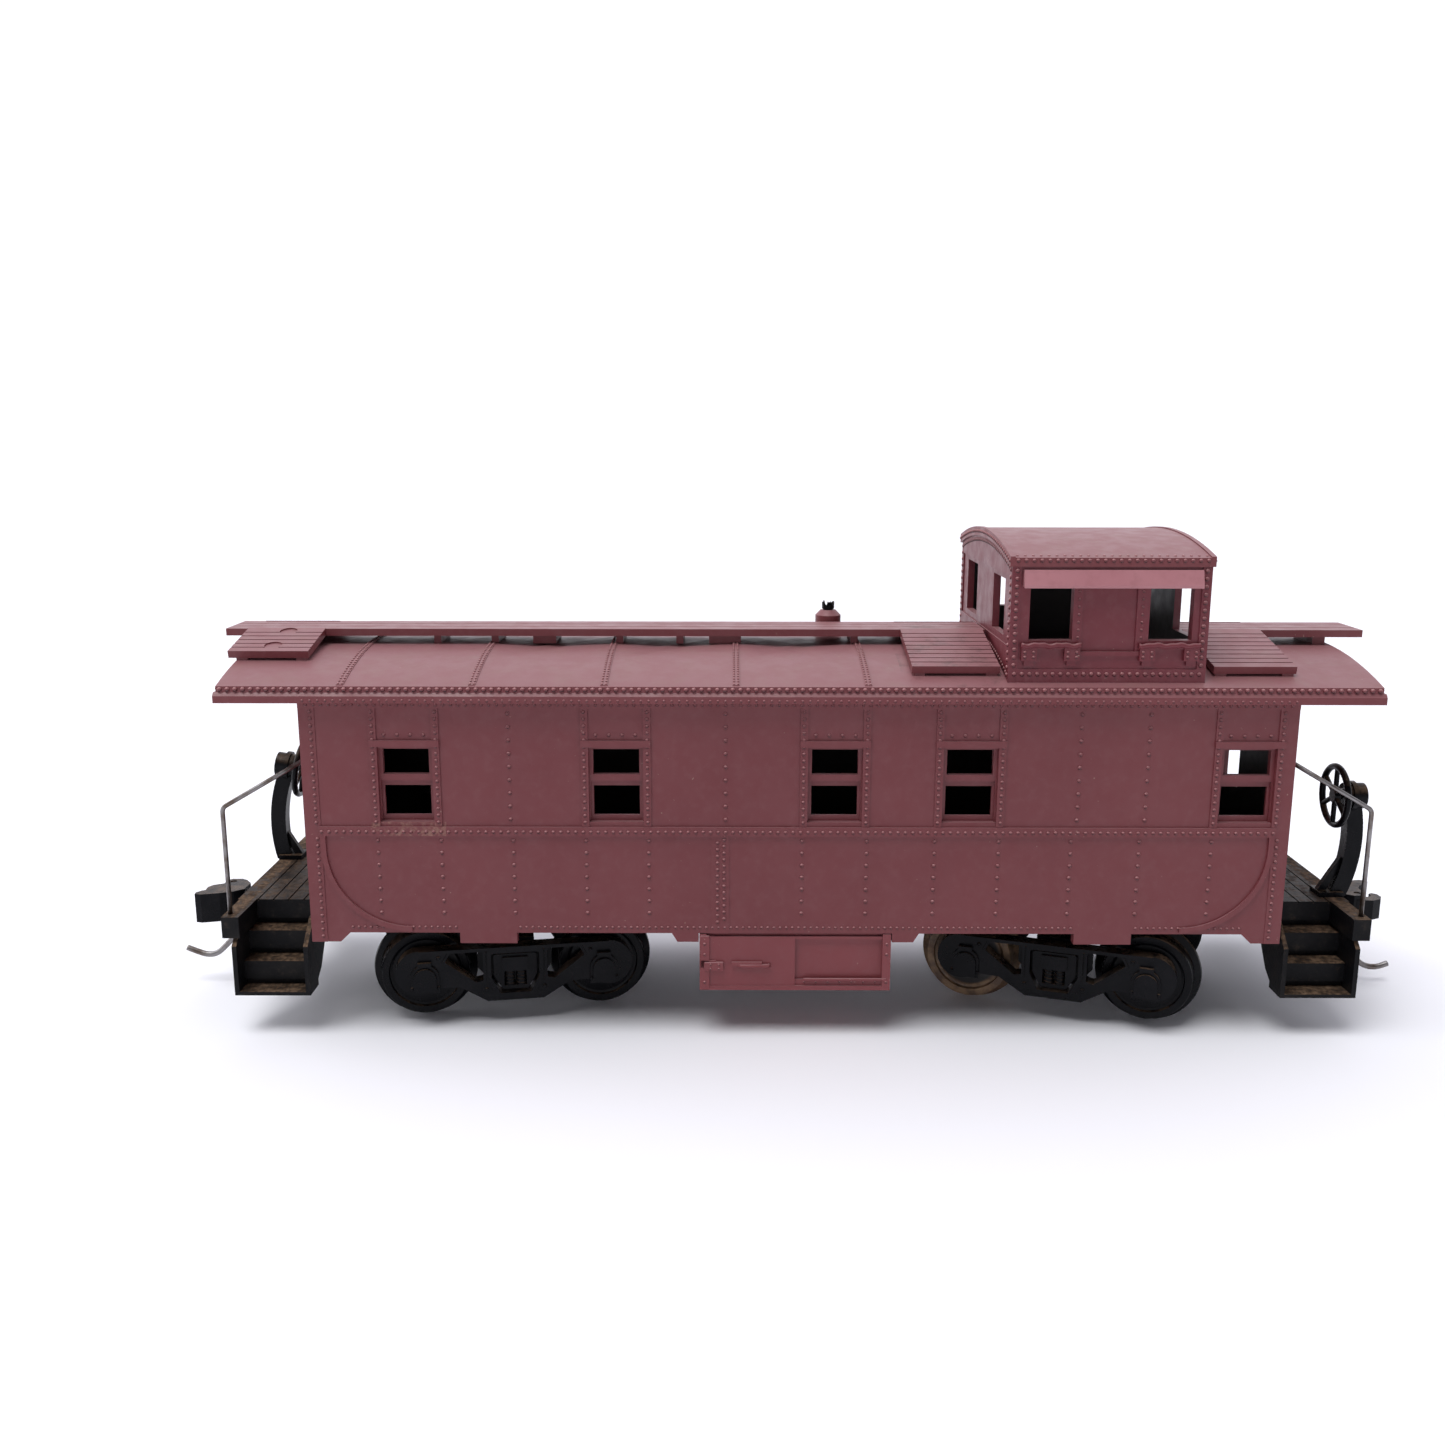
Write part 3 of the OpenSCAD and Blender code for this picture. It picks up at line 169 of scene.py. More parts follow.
class Shader:
    """A material with its Principled shader and short ways to add nodes."""

    def __init__(self, name):
        self.material = bpy.data.materials.new(name)
        self.material.use_nodes = True
        self.tree = self.material.node_tree
        self.bsdf = self.tree.nodes["Principled BSDF"]
        self.place = self.tree.nodes.new("ShaderNodeTexCoord").outputs["Object"]

    def link(self, out, socket):
        self.tree.links.new(out, socket)

    def noise(self, scale, detail=4.0, roughness=0.55, place=None):
        node = self.tree.nodes.new("ShaderNodeTexNoise")
        node.inputs["Scale"].default_value = scale
        node.inputs["Detail"].default_value = detail
        node.inputs["Roughness"].default_value = roughness
        self.link(place or self.place, node.inputs["Vector"])
        return node.outputs["Fac"]

    def ramp(self, value, low, high, out_low=0.0, out_high=1.0):
        """A smooth step from out_low to out_high while value goes from low to high."""
        node = self.tree.nodes.new("ShaderNodeMapRange")
        node.interpolation_type = "SMOOTHSTEP"
        node.inputs["From Min"].default_value = low
        node.inputs["From Max"].default_value = high
        node.inputs["To Min"].default_value = out_low
        node.inputs["To Max"].default_value = out_high
        self.link(value, node.inputs["Value"])
        return node.outputs["Result"]

    def maths(self, kind, a, b):
        node = self.tree.nodes.new("ShaderNodeMath")
        node.operation = kind
        for socket, value in zip(node.inputs, (a, b)):
            if isinstance(value, (int, float)):
                socket.default_value = value
            else:
                self.link(value, socket)
        return node.outputs["Value"]

    def mix(self, factor, a, b):
        node = self.tree.nodes.new("ShaderNodeMix")
        node.data_type = "RGBA"
        self.link(factor, node.inputs["Factor"])
        for socket, value in ((node.inputs[6], a), (node.inputs[7], b)):
            if isinstance(value, tuple):
                socket.default_value = (*value, 1)
            else:
                self.link(value, socket)
        return node.outputs[2]

    def stretched(self, scale):
        node = self.tree.nodes.new("ShaderNodeMapping")
        node.inputs["Scale"].default_value = scale
        self.link(self.place, node.inputs["Vector"])
        return node.outputs["Vector"]

    def facing_up(self, low=0.35, high=0.9):
        """1 on faces that look up, 0 on walls."""
        node = self.tree.nodes.new("ShaderNodeNewGeometry")
        parts = self.tree.nodes.new("ShaderNodeSeparateXYZ")
        self.link(node.outputs["Normal"], parts.inputs["Vector"])
        return self.ramp(parts.outputs["Z"], low, high)

    def within(self, x_range, half_y, z_range):
        """1 inside a box that is centred across the car, 0 outside it."""
        parts = self.tree.nodes.new("ShaderNodeSeparateXYZ")
        self.link(self.place, parts.inputs["Vector"])
        x, y, z = parts.outputs
        tests = [(x, "GREATER_THAN", x_range[0]), (x, "LESS_THAN", x_range[1]),
                 (self.maths("ABSOLUTE", y, 0), "LESS_THAN", half_y),
                 (z, "GREATER_THAN", z_range[0]), (z, "LESS_THAN", z_range[1])]
        out = 1.0
        for value, kind, limit in tests:
            out = self.maths("MULTIPLY", self.maths(kind, value, limit * MM), out)
        return out

    def from_axis(self, point, axis):
        """Distance from a line through point."""
        out = self.place
        for kind, value in (("SUBTRACT", point), ("CROSS_PRODUCT", axis), ("LENGTH", None)):
            node = self.tree.nodes.new("ShaderNodeVectorMath")
            node.operation = kind
            self.link(out, node.inputs[0])
            if value is not None:
                node.inputs[1].default_value = value
            out = node.outputs["Value" if kind == "LENGTH" else "Vector"]
        return out

    def bump(self, height, distance, strength):
        node = self.tree.nodes.new("ShaderNodeBump")
        node.inputs["Distance"].default_value = distance
        node.inputs["Strength"].default_value = strength
        self.link(height, node.inputs["Height"])
        self.link(node.outputs["Normal"], self.bsdf.inputs["Normal"])

    def colour(self, out):
        self.link(out, self.bsdf.inputs["Base Color"])

    def roughness(self, value, low, high):
        self.link(self.ramp(value, 0.3, 0.7, low, high), self.bsdf.inputs["Roughness"])


def floor_material():
    s = Shader("paper_floor")
    s.bsdf.inputs["Roughness"].default_value = 0.9
    s.colour(s.mix(s.noise(14.0, 2.0), (0.885, 0.890, 0.940), (0.905, 0.910, 0.955)))
    return s.material


def red_plastic(name="oxide_red_plastic", gain=(1.0, 1.0, 1.0)):
    """Oxide-red moulded plastic with faint flow marks, a satin skin, grey-brown dust on top,
    painted top light on faces that look up, and painted shade on the inner faces of the body and
    cupola.
    """
    s = Shader(name)
    dark, light = [tuple(g * c for g, c in zip(gain, tone))
                   for tone in ((0.143, 0.027, 0.032), (0.159, 0.033, 0.038))]
    tone = s.mix(s.ramp(s.noise(45.0, 3.0), 0.3, 0.7), dark, light)
    fine = s.ramp(s.noise(900.0, 5.0), 0.45, 0.75, 0.0, 0.2)
    tone = s.mix(fine, tone, (0.190, 0.065, 0.070))
    # painted top light: faces that look up are painted lighter and paler, standing in for light
    # from above and its sheen
    painted_top_light = s.facing_up(0.3, 1.0)
    tone = s.mix(painted_top_light, tone, (0.262, 0.112, 0.124))
    dust = s.maths("MULTIPLY", s.facing_up(),
                   s.ramp(s.noise(300.0, 6.0, 0.7), 0.44, 0.74, 0.03, 0.3))
    tone = s.mix(dust, tone, (0.25, 0.155, 0.13))
    specks = s.maths("MULTIPLY", s.ramp(s.noise(2400.0, 2.0), 0.70, 0.76),
                     s.ramp(s.noise(120.0), 0.5, 0.62, 0.0, 0.6))
    tone = s.mix(specks, tone, (0.38, 0.26, 0.21))
    under_first_window = s.within((-45.4, -37.4), 20, (22.9, 24.5))
    sill_dust = s.maths("MULTIPLY", under_first_window,
                        s.ramp(s.noise(1300.0, 5.0, 0.7), 0.44, 0.70, 0.0, 0.5))
    tone = s.mix(sill_dust, tone, (0.33, 0.20, 0.14))
    walk_corner = s.maths("MULTIPLY", s.within((11.0, 22.4), 16.5, (38.0, 46.0)),
                          s.facing_up(0.1, 0.7))
    dirt = s.maths("MULTIPLY", walk_corner,
                   s.ramp(s.noise(420.0, 6.0, 0.72), 0.48, 0.68, 0.0, 0.5))
    tone = s.mix(dirt, tone, (0.065, 0.038, 0.032))
    # painted shade: every face inside the body and the cupola is painted near black, standing in
    # for the shade in their interiors
    inside = s.maths("MAXIMUM", s.within((-51.35, 51.35), 14.25, (10, 39.2)),
                     s.within((22.7, 41.45), 13.95, (39, 51.9)))
    s.colour(s.mix(inside, tone, (0.012, 0.007, 0.007)))
    s.bsdf.inputs["Specular IOR Level"].default_value = 0.42
    s.roughness(s.noise(500.0, 4.0), 0.38, 0.52)
    s.bump(s.noise(1800.0, 3.0), 0.00003, 0.35)
    return s.material


def rivet_red():
    """The same red on the rivet heads, with painted shade on their undersides and a painted
    highlight on their tops.
    """
    s = Shader("oxide_red_rivets")
    # painted shade: the lower half of each rivet head is painted dark, standing in for the shadow
    # under it
    shaded_underside = s.mix(s.facing_up(-0.75, -0.05), (0.028, 0.006, 0.008), (0.134, 0.026, 0.031))
    # painted highlight: the top of each rivet head is painted pale, standing in for light catching
    # it
    s.colour(s.mix(s.facing_up(0.0, 0.8), shaded_underside, (0.365, 0.165, 0.170)))
    s.roughness(s.noise(500.0, 4.0), 0.28, 0.40)
    return s.material


def black_plastic():
    """Black moulded plastic, a little brown dust on what looks up."""
    s = Shader("black_plastic")
    tone = s.mix(s.ramp(s.noise(300.0, 4.0), 0.4, 0.7),
                 (0.0022, 0.0024, 0.0036), (0.0052, 0.0052, 0.0066))
    dust = s.maths("MULTIPLY", s.facing_up(0.2, 0.8),
                   s.ramp(s.noise(420.0, 6.0, 0.75), 0.36, 0.66, 0.0, 0.77))
    s.colour(s.mix(dust, tone, (0.13, 0.085, 0.055)))
    s.bsdf.inputs["Specular IOR Level"].default_value = 0.11
    s.roughness(s.noise(350.0, 4.0), 0.22, 0.38)
    s.bump(s.noise(1500.0, 4.0), 0.00004, 0.35)
    return s.material


def dusty_deck():
    """Black decks and steps; brown dirt lies on the boards, most on treads and end beams."""
    s = Shader("dusty_black_plastic")
    tone = s.mix(s.ramp(s.noise(350.0, 4.0), 0.4, 0.7),
                 (0.0045, 0.0045, 0.0055), (0.011, 0.010, 0.010))
    patches = s.ramp(s.noise(260.0, 6.0, 0.7), 0.30, 0.55, 0.15, 1.0)
    grains = s.ramp(s.noise(2600.0, 3.0, 0.6, s.stretched((1.0, 0.45, 1.0))),
                    0.36, 0.58, 0.4, 1.0)
    everywhere = s.maths("MULTIPLY", s.maths("MULTIPLY", s.facing_up(0.2, 0.8), patches), grains)
    on_deck = s.within((-60.9, 60.9), 20, (13.2, 30))
    share = s.maths("SUBTRACT", 1.15, s.maths("MULTIPLY", on_deck, 0.6))
    lying = s.maths("MINIMUM", s.maths("MULTIPLY", everywhere, share), 1.0)
    walls = s.ramp(s.noise(700.0, 5.0, 0.7), 0.54, 0.80, 0.0, 0.22)
    dirt = s.mix(s.ramp(s.noise(1500.0), 0.3, 0.7),
                 (0.050, 0.032, 0.021), (0.165, 0.108, 0.070))
    s.colour(s.mix(s.maths("MAXIMUM", lying, walls), tone, dirt))
    s.bsdf.inputs["Specular IOR Level"].default_value = 0.12
    s.roughness(lying, 0.45, 0.85)
    s.bump(s.noise(2200.0, 5.0, 0.65), 0.00008, 0.5)
    return s.material


def steel(name="steel", roughness=(0.30, 0.50)):
    """Drawn steel with fine lengthwise marks and brown tarnish."""
    s = Shader(name)
    s.bsdf.inputs["Metallic"].default_value = 1.0
    s.colour(s.mix(s.ramp(s.noise(420.0, 5.0), 0.40, 0.66),
                   (0.26, 0.25, 0.25), (0.125, 0.095, 0.078)))
    s.roughness(s.noise(900.0, 4.0, 0.6, s.stretched((1.0, 1.0, 0.2))), *roughness)
    s.bump(s.noise(4000.0, 3.0), 0.00001, 0.3)
    return s.material


def stained_wheel():
    """A black wheel with a brown stain round its rim, as if it had stood in dirt."""
    s = Shader("stained_wheel_plastic")
    hub = truck_frame("b") @ Vector((-AXLE_U, 0, AXLE_Z)) * MM
    axis = truck_frame("b").to_3x3() @ Vector((0, 1, 0))
    rim = s.ramp(s.from_axis(hub, axis), 3.3 * MM, 3.7 * MM)
    stain = s.mix(s.ramp(s.noise(500.0, 5.0, 0.65), 0.36, 0.66),
                  (0.085, 0.045, 0.022), (0.230, 0.140, 0.072))
    s.colour(s.mix(rim, (0.012, 0.011, 0.011), stain))
    s.roughness(s.noise(700.0, 4.0), 0.42, 0.62)
    s.bump(s.noise(1800.0, 4.0), 0.00004, 0.4)
    return s.material


MATERIALS = {
    "oxide_red_plastic": red_plastic(),
    "red_trim": red_plastic("oxide_red_trim", (1.22, 1.22, 1.22)),
    "red_cupola": red_plastic("oxide_red_cupola", (0.86, 0.55, 0.70)),
    "red_visor": red_plastic("oxide_red_visor", (2.6, 5.6, 5.3)),
    "red_rivets": rivet_red(),
    "black_plastic": black_plastic(),
    "deck": dusty_deck(),
    "steel": steel(),
    "steel_weight": steel("steel_weight", (0.35, 0.55)),
    "dusty_wheel_plastic": stained_wheel(),
}


def dress_cad_nodes():
    """Every CAD node takes the material of its slot; a few mouldings have their own shade."""
    slots = {s["node"]: s["material_slot"] for s in frame["record"]["subparts"]}
    shades = {"platform_a": "deck", "platform_b": "deck",
              "toolbox_near": "red_trim", "toolbox_far": "red_trim",
              "cupola_body": "red_cupola", "cupola_visors": "red_visor"}
    for name, obj in nodes.items():
        chosen = shades.get(name, slots[name])
        obj.data.materials.clear()
        obj.data.materials.append(MATERIALS[chosen])


# ---------- small mesh makers ----------

def add_mesh(name, verts, faces, body, slot_name, material=None, smooth=True):
    """Makes a piece from points in millimetres and lets it ride on a body."""
    mesh = bpy.data.meshes.new(name)
    mesh.from_pydata([Vector(v) * MM for v in verts], [], faces)
    mesh.update()
    if smooth:
        mesh.polygons.foreach_set("use_smooth", [True] * len(mesh.polygons))
    obj = bpy.data.objects.new(name, mesh)
    scene.collection.objects.link(obj)
    obj.data.materials.append(MATERIALS[material or slot_name])
    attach(obj, body)
    return obj


def circle(radius, around, count=None):
    """Points round a circle; more than one turn where count asks for more than around."""
    angles = [2 * math.pi * k / around for k in range(count or around)]
    return [(radius * math.cos(a), radius * math.sin(a)) for a in angles]


def ring_faces(base, rings, around):
    """Quads between successive rings of points that start at base."""
    faces = []
    for ring in range(rings - 1):
        for k in range(around):
            a, b = base + ring * around + k, base + ring * around + (k + 1) % around
            faces.append((a, b, b + around, a + around))
    return faces


def block(name, low, high, body, slot_name, material, chamfer):
    """A box from its lowest to its highest corner, with chamfered edges."""
    middle = [(a + b) / 2 for a, b in zip(low, high)]
    half = [(b - a) / 2 for a, b in zip(low, high)]
    shape = bmesh.new()
    for sx in (-1, 1):
        for sy in (-1, 1):
            for sz in (-1, 1):
                for flat in range(3):
                    cut = [chamfer if axis != flat else 0.0 for axis in range(3)]
                    corner = zip(middle, half, cut, (sx, sy, sz))
                    shape.verts.new([m + sign * (h - c) for m, h, c, sign in corner])
    bmesh.ops.convex_hull(shape, input=shape.verts)
    bmesh.ops.recalc_face_normals(shape, faces=shape.faces)
    verts = [v.co.copy() for v in shape.verts]
    shape.verts.index_update()
    faces = [tuple(v.index for v in f.verts) for f in shape.faces]
    shape.free()
    return add_mesh(name, verts, faces, body, slot_name, material, smooth=False)


def frame_axes(normal):
    """Two directions across normal, and normal itself, each of length 1."""
    normal = Vector(normal).normalized()
    across = Vector((0, 0, 1)) if abs(normal.z) < 0.9 else Vector((1, 0, 0))
    side = normal.cross(across).normalized()
    return side, normal.cross(side), normal


DOME_RINGS = ((1.0, -0.04), (0.93, 0.35), (0.62, 0.8))  # shares of the radius and of the height


def domes(name, places, body="car", slot_name="oxide_red_plastic", material="red_rivets",
          around=10):
    """Rivet heads; each place is (point, normal, radius, height)."""
    verts, faces = [], []
    for point, normal, radius, height in places:
        u, v, n = frame_axes(normal)
        base = len(verts)
        point = Vector(point)
        for share, lift in DOME_RINGS:
            verts += [point + u * a + v * b + n * (height * lift)
                      for a, b in circle(radius * share, around)]
        verts.append(point + n * height)
        rings = len(DOME_RINGS)
        faces += ring_faces(base, rings, around)
        last, top = base + (rings - 1) * around, base + rings * around
        faces += [(last + k, last + (k + 1) % around, top) for k in range(around)]
        faces.append(tuple(base + k for k in reversed(range(around))))
    return add_mesh(name, verts, faces, body, slot_name, material)


def tube(name, points, radius, body, slot_name, around=14, material=None):
    """A round wire through points, with flat ends."""
    points = [Vector(p) for p in points]
    verts = []
    side = None
    for i, p in enumerate(points):
        ahead = (points[min(i + 1, len(points) - 1)] - points[max(i - 1, 0)]).normalized()
        if side is None:
            side = frame_axes(ahead)[0]
        else:
            side = (side - ahead * side.dot(ahead)).normalized()
        other = ahead.cross(side)
        verts += [p + side * a + other * b for a, b in circle(radius, around)]
    faces = ring_faces(0, len(points), around)
    faces.append(tuple(reversed(range(around))))
    faces.append(tuple(range((len(points) - 1) * around, len(points) * around)))
    return add_mesh(name, verts, faces, body, slot_name, material)


def smooth_path(points, steps=8):
    """A Catmull-Rom curve through the points."""
    points = [Vector(p) for p in points]
    ends = [2 * points[0] - points[1], *points, 2 * points[-1] - points[-2]]
    out = []
    for i in range(1, len(ends) - 2):
        p0, p1, p2, p3 = ends[i - 1:i + 3]
        for k in range(steps):
            t = k / steps
            out.append(0.5 * (2 * p1 + (p2 - p0) * t + (2 * p0 - 5 * p1 + 4 * p2 - p3) * t * t
                              + (3 * p1 - p0 - 3 * p2 + p3) * t ** 3))
    out.append(points[-1])
    return out


# ---------- rivets ----------

def row(points, normal, radius, height):
    """Equal rivets at points, ready for domes()."""
    return [(point, normal, radius, height) for point in points]


def side_rivets():
    """Rivets of one side wall as (x, z, distance out from the panel, radius)."""
    out = []
    small, large = 0.2, 0.22
    between_tabs = ((-48.0, -36.8), (-29.8, -13.8), (-13.0, 13.0), (13.8, 29.8), (36.8, 48.0))
    for low, high in between_tabs:
        out += [(x, 12.65, 0, small * 0.8) for x in spread(low, high, 0.66)]
    out += [(x, 23.45, BELT, small) for x in spread(-50.7, 50.7, 0.8)]
    out += [(x, 37.25, STRIP, small * 0.85) for x in spread(-51.6, 51.6, 0.8)]
    for middle in WINDOWS:
        for edge in (-1, 1):
            out += [(middle + edge * 3.34, z, STRIP, small) for z in spread(24.5, 36.5, 0.74)]
        out += [(middle + dx, 34.0, 0, large * 0.9) for dx in (-2.1, -0.7, 0.7, 2.1)]
    for x in (-30.5, -7.6, 29.8, 37.0):
        out += [(x, z, 0, large) for z in spread(24.8, 36.3, 1.37)]
    for x in (-44.8, -38.0, -30.3, -22.5, -15.8, 0.6, 7.5, 14.75, 21.6, 29.3, 36.6, 44.3):
        out += [(x, z, 0, large) for z in spread(14.3, 22.4, 1.37)]
    for x, start in ((-8.45, 13.3), (-7.75, 13.67)):
        out += [(x, z, 0.07, small) for z in spread(start, start + 8.9, 0.74)]
    corner_x, corner_out = 51.25, 0.08
    for end in (-1, 1):
        out += [(end * corner_x, z, corner_out, small) for z in spread(11.6, 22.6, 0.78)]
    out += [(-corner_x, z, corner_out, small) for z in spread(24.4, 36.5, 0.78)]
    return out


def add_body_rivets():
    places = []
    for side in (-1, 1):
        for x, z, out, r in side_rivets():
            places.append(((x, side * (HALF_W + out), z), (0, side, 0), r, 0.17))
    r, height = 0.15, 0.11
    for end in (-1, 1):
        wall, door_edge, normal = end * HALF_L, end * (HALF_L + STRIP), (end, 0, 0)
        for side in (-1, 1):
            places += row([(wall, side * 14.85, z) for z in spread(11.7, 37.0, 0.78)],
                          normal, 0.22, 0.2)
            places += row([(door_edge, side * 4.15, z) for z in spread(14.4, 35.0, 0.95)],
                          normal, r, height)
        places += row([(door_edge, y, 35.75) for y in spread(-3.9, 3.9, 0.9)], normal, r, height)
        across = spread(-14.0, 14.0, 0.85)
        places += row([(wall, y, 14.4) for y in across if abs(y) > 4.7], normal, r, height)
        places += row([(wall, y, roof_z(y) - 2.7) for y in across], normal, r, height)
    domes("rivets_body", places)


def add_roof_rivets():
    places = []
    for side in (-1, 1):
        places += row([(x, side * ROOF_HALF_W, 39.02) for x in spread(-60.2, 60.2, 0.81)],
                      (0, side, 0), 0.27, 0.24)
        places += row([(x, side * 16.65, 37.9) for x in spread(-51.6, 51.6, 0.8)],
                      (0, side, 0), 0.15, 0.08)
    for end in (-1, 1):
        places += row([(end * 60.6, y, roof_z(y) - 0.42) for y in spread(-16.0, 16.0, 0.81)],
                      (end, 0, 0), 0.22, 0.16)
    first_seam, sheet, seam_lift = -47.75, 13.75, 0.07
    for i in range(5):
        for dx in (-0.21, 0.21):
            for y in spread(-15.9, 15.9, 0.6):
                point = (first_seam + sheet * i + dx, y, roof_z(y, seam_lift))
                places.append((point, (0, y / ROOF_R, 1), 0.13, 0.12))
    domes("rivets_roof", places)


def add_cupola_rivets():
    places = []
    (x0, x1), half_w, r, pitch = CUPOLA_ENDS, CUPOLA_HALF_W, 0.25, 0.8
    eaves = spread(x0 + 0.4, x1 - 0.4, pitch)
    for side in (-1, 1):
        face, normal = side * (half_w + STRIP), (0, side, 0)
        places += row([(x, face, 40.55) for x in spread(x0 + 0.5, x1 - 0.5, pitch)],
                      normal, r, 0.18)
        places += row([(x, side * (half_w + 0.3), 52.38) for x in eaves], normal, 0.22, 0.17)
        edge_y = half_w - 0.35
        places += row([(x, side * edge_y, cupola_z(edge_y)) for x in eaves],
                      (0, side * 0.23, 1), 0.16, 0.1)
        for x in (x0 + 0.4, x1 - 0.4):
            places += row([(x, face, z) for z in spread(41.5, 51.3, pitch)], normal, r, 0.18)
        for x in (28.9, 35.45):
            places += row([(x, side * half_w, z) for z in spread(43.6, 49.2, pitch)],
                          normal, 0.15, 0.1)
        for x in (23.85, 28.3, 36.1, 40.7):
            places += row([(x + dx, side * (half_w + 0.5), z)
                           for dx in (-0.45, 0.45) for z in (42.4, 42.9)], normal, 0.18, 0.14)
    for x, end in ((x0 - STRIP, -1), (x1 + STRIP, 1)):
        normal, height = (end, 0, 0), 0.15
        for side in (-1, 1):
            places += row([(x, side * (half_w - 0.45), z) for z in spread(40.4, 51.4, pitch)],
                          normal, r, height)
        across = spread(-14.0, 14.0, pitch)
        places += row([(x, y, roof_z(y) + 0.55) for y in across if abs(y) > 3.6], normal, r, height)
        places += row([(x, y, cupola_z(y, 0.9) - 0.45) for y in across], normal, r, height)
        places += row([(x + end * 0.25, y, cupola_z(y) - 0.4)
                       for y in spread(-half_w, half_w, pitch)], normal, 0.2, height)
    domes("rivets_cupola", places)


# ---------- mouldings on the car ----------

def add_armrests():
    """A rounded rest under each side window of the cupola, swollen over its bearing blocks."""
    steps = 24
    for side, place in SIDES:
        for low, high, mark in ((23.0, 29.2, "a"), (35.2, 41.6, "b")):
            points = []
            for k in range(steps + 1):
                x = low + (high - low) * k / steps
                dip = 0.07 * math.sin(2.6 * x) + 0.05 * math.sin(5.3 * x + side)
                points.append((x, side * (CUPOLA_HALF_W + 0.42), 43.62 + dip))
            tube(f"armrest_{place}_{mark}", points, 0.27, "car", "oxide_red_plastic",
                 12, "red_cupola")


def add_toolbox_trim():
    """Edge flange, latch and handle of each sliding door, and the bolts of the box."""
    places = []
    for side, label in SIDES:
        face, normal = HALF_W - 0.1, (0, side, 0)
        for kind, x, z, out in (("flange", (-10.35, -9.3), (5.55, 11.75), 0.15),
                                ("latch", (-9.9, -7.8), (7.75, 8.75), 0.32),
                                ("ledge", (0.9, 10.0), (6.55, 6.85), 0.12)):
            y = sorted((side * face, side * (HALF_W + out)))
            block(f"toolbox_{kind}_{label}", (x[0], y[0], z[0]), (x[1], y[1], z[1]), "car",
                  "oxide_red_plastic", "red_trim", 0.06)
        inner, outer, grip_z = side * HALF_W, side * (HALF_W + 0.16), 8.3
        grip = [(-6.1, inner, grip_z), (-5.95, outer, grip_z),
                (-2.95, outer, grip_z), (-2.8, inner, grip_z)]
        tube(f"toolbox_handle_{label}", grip, 0.24, "car", "oxide_red_plastic", 10, "red_trim")
        places += row([(x, side * (HALF_W + 0.32), z) for x in (-9.2, -8.3) for z in (8.0, 8.5)],
                      normal, 0.13, 0.1)
        for x, out in ((-9.85, 0.1), (9.95, 0)):
            places += row([(x, side * (HALF_W + 0.05) + side * out, z) for z in (6.4, 9.6, 10.8)],
                          normal, 0.17, 0.13)
        places += row([(x, side * (HALF_W - 0.2), 6.3) for x in spread(1.0, 8.8, 1.3)],
                      normal, 0.13, 0.09)
    domes("rivets_toolbox", places)


def add_stack_stub():
    """The broken stack: a thin black tube with a torn upper edge."""
    centre_x, centre_y, around = 4.45, 5.0, 28
    outer, wall, tear_z, floor_z = 0.74, 0.16, 45.1, 44.9
    tear = [0.25 + 0.32 * math.sin(2.1 * k) * math.cos(0.9 * k) + 0.24 * math.sin(0.5 * k)
            for k in range(around)]
    level = [0.0] * around
    rings = [(0.55, 43.6, level), (0.55, 44.75, level), (0.72, 44.85, level),
             (outer, tear_z + 0.05, tear), (outer - wall, tear_z, tear),
             (outer - wall, floor_z, level), (0.1, 44.85, level)]
    points = []
    for radius, z, lifts in rings:
        points += [(centre_x + x, centre_y + y, z + lift)
                   for (x, y), lift in zip(circle(radius, around), lifts)]
    faces = ring_faces(0, len(rings), around)
    faces.append(tuple(reversed(range(around))))
    faces.append(tuple(range((len(rings) - 1) * around, len(rings) * around)))
    piece = add_mesh("torn_stack", points, faces, "car", "black_plastic", smooth=False)
    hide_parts("smokejack_stub")


# ---------- wires ----------

RAIL_X, RAIL_Y, RAIL_FOOT_Z, RAIL_BEND_R = 61.75, 14.0, 12.8, 0.8
RAIL_SLOPE = math.radians(59.7)
PIN_ROUTES = {  # (distance from the car's middle, height) down each coupler's steel pin
    "a": [(66, 9.7), (66, 7), (66.25, 6.35), (66.75, 5.7), (68.2, 4.2), (68.9, 3.65),
          (69.6, 3.45), (70.4, 3.5), (71.3, 3.8), (72.5, 4.28)],
    "b": [(66.4, 9.7), (66.4, 6), (66.6, 5.2), (67.1, 4.4), (68.1, 3.35), (68.9, 2.65),
          (69.7, 2.15), (70.5, 1.95), (71.4, 2.0), (72.5, 2.38)],
}


def add_wires():
    """Bent handrails at the platforms and the trip pins under the couplers."""
    for half_turn, end in ((False, "b"), (True, "a")):
        for side, label in SIDES:
            if half_turn:
                label = "far" if label == "near" else "near"
            y = side * RAIL_Y
            bend = [(RAIL_X - RAIL_BEND_R * (1 - math.cos(a)), y, 25.14 + RAIL_BEND_R * math.sin(a))
                    for a in [RAIL_SLOPE * k / 8 for k in range(9)]]
            path = [(RAIL_X, y, RAIL_FOOT_Z), *bend, (52.72, y, 30.85)]
            piece = tube(f"rail_{end}_{label}", [turned(p, half_turn) for p in path], 0.25,
                         "car", "steel")
            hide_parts(f"handrail_{end}_{label}")
    for end, route in PIN_ROUTES.items():
        path = smooth_path([turned((x, 0.3, z), end == "a") for x, z in route])
        piece = tube(f"pin_{end}", path, 0.34, f"coupler_{end}", "steel", around=16)
        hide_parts(f"trip_pin_{end}")


# ---------- trucks ----------

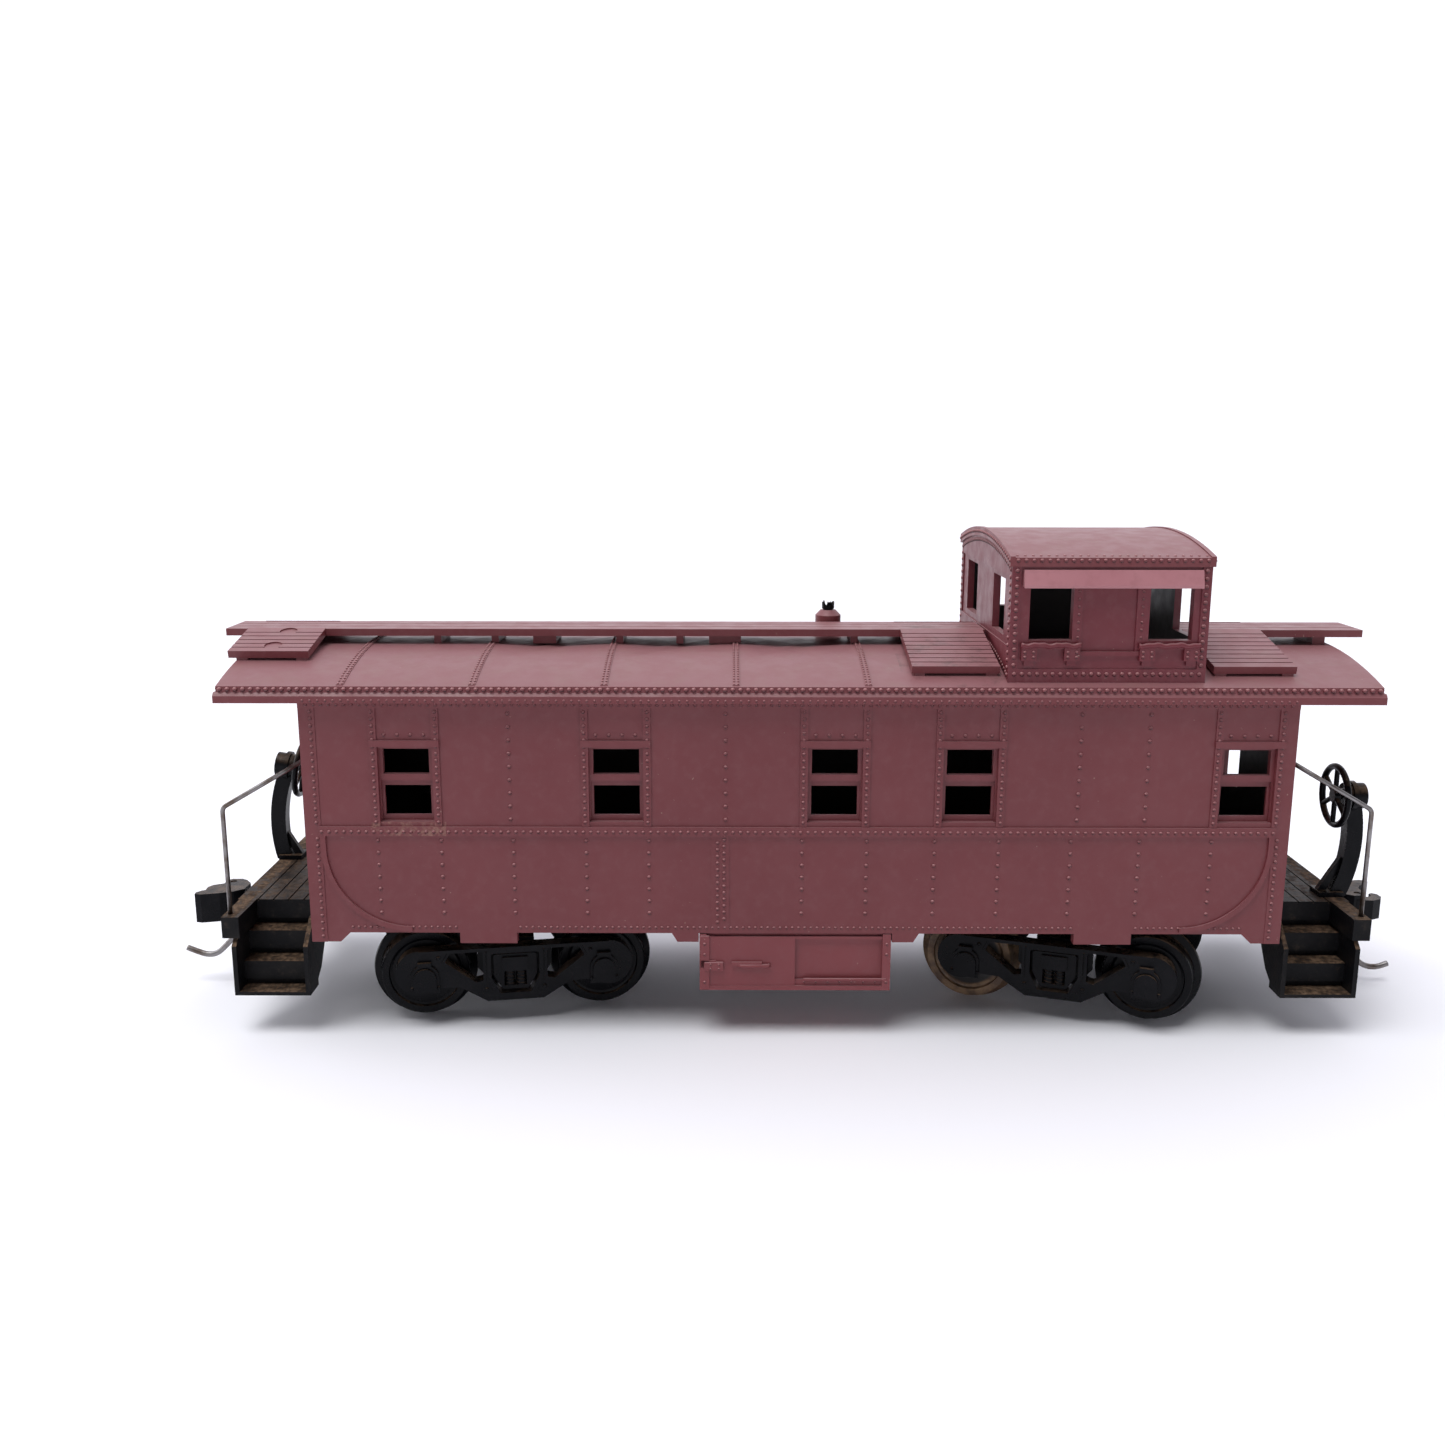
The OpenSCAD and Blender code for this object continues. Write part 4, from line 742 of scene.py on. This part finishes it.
FRAME_BOLTS = ((-8.4, 8.3), (8.4, 8.3), (-3.2, 8.6), (3.2, 8.6), (-3.2, 4.3), (3.2, 4.3))
# outline of the dark plate of painted shade that fills each sideframe's middle openings
SHADE_PLATE = ((-4.1, 8.7), (4.1, 8.7), (4.1, 6.4), (2.6, 4.4), (-2.6, 4.4), (-4.1, 6.4))


def add_shade_plate(place, end, side, label):
    """A dark plate of painted shade behind a sideframe's middle openings, hiding the light seen
    through them.
    """
    verts = [place @ Vector((u, side * y, z)) for y in (10.55, 10.95) for u, z in SHADE_PLATE]
    count = len(SHADE_PLATE)
    faces = [tuple(range(count)), tuple(reversed(range(count, 2 * count)))]
    faces += [(k, k + count, (k + 1) % count + count, (k + 1) % count) for k in range(count)]
    if side > 0:
        faces = [tuple(reversed(face)) for face in faces]
    add_mesh(f"shade_plate_{end}_{label}", verts, faces, f"truck_{end}", "black_plastic", smooth=False)


def add_springs(place, end, side, label):
    """Two coil springs under the bolster's end."""
    per_turn, turns, foot_z, height = 12, 4, 4.55, 1.7
    steps = per_turn * turns
    for u, mark in ((-0.62, "l"), (0.62, "r")):
        helix = [place @ Vector((u + a, side * (11.6 + b), foot_z + height * k / steps))
                 for k, (a, b) in enumerate(circle(0.46, per_turn, steps + 1))]
        tube(f"spring_{end}_{label}_{mark}", helix, 0.13, f"truck_{end}", "black_plastic", around=8)


def add_truck_details():
    """Springs, bolts, and dark plates of painted shade behind the sideframes' openings."""
    for end in "ab":
        place = truck_frame(end)
        turn = place.to_3x3()
        places = []
        for side, label in SIDES:
            normal = turn @ Vector((0, side, 0))
            lids = [(box + dx, side * 12.6, 5.0)
                    for box in (-AXLE_U, AXLE_U) for dx in (-1.42, 1.42)]
            places += row([place @ Vector(p) for p in lids], normal, 0.2, 0.14)
            places += row([place @ Vector((u, side * 12.3, z)) for u, z in FRAME_BOLTS],
                          normal, 0.26, 0.2)
            add_shade_plate(place, end, side, label)
            add_springs(place, end, side, label)
        domes(f"bolts_truck_{end}", places, f"truck_{end}", "black_plastic", "black_plastic",
              around=6)


# ---------- build the scene ---

add_camera()
add_studio()
dress_cad_nodes()
add_body_rivets()
add_roof_rivets()
add_cupola_rivets()
add_armrests()
add_toolbox_trim()
add_stack_stub()
add_wires()
add_truck_details()
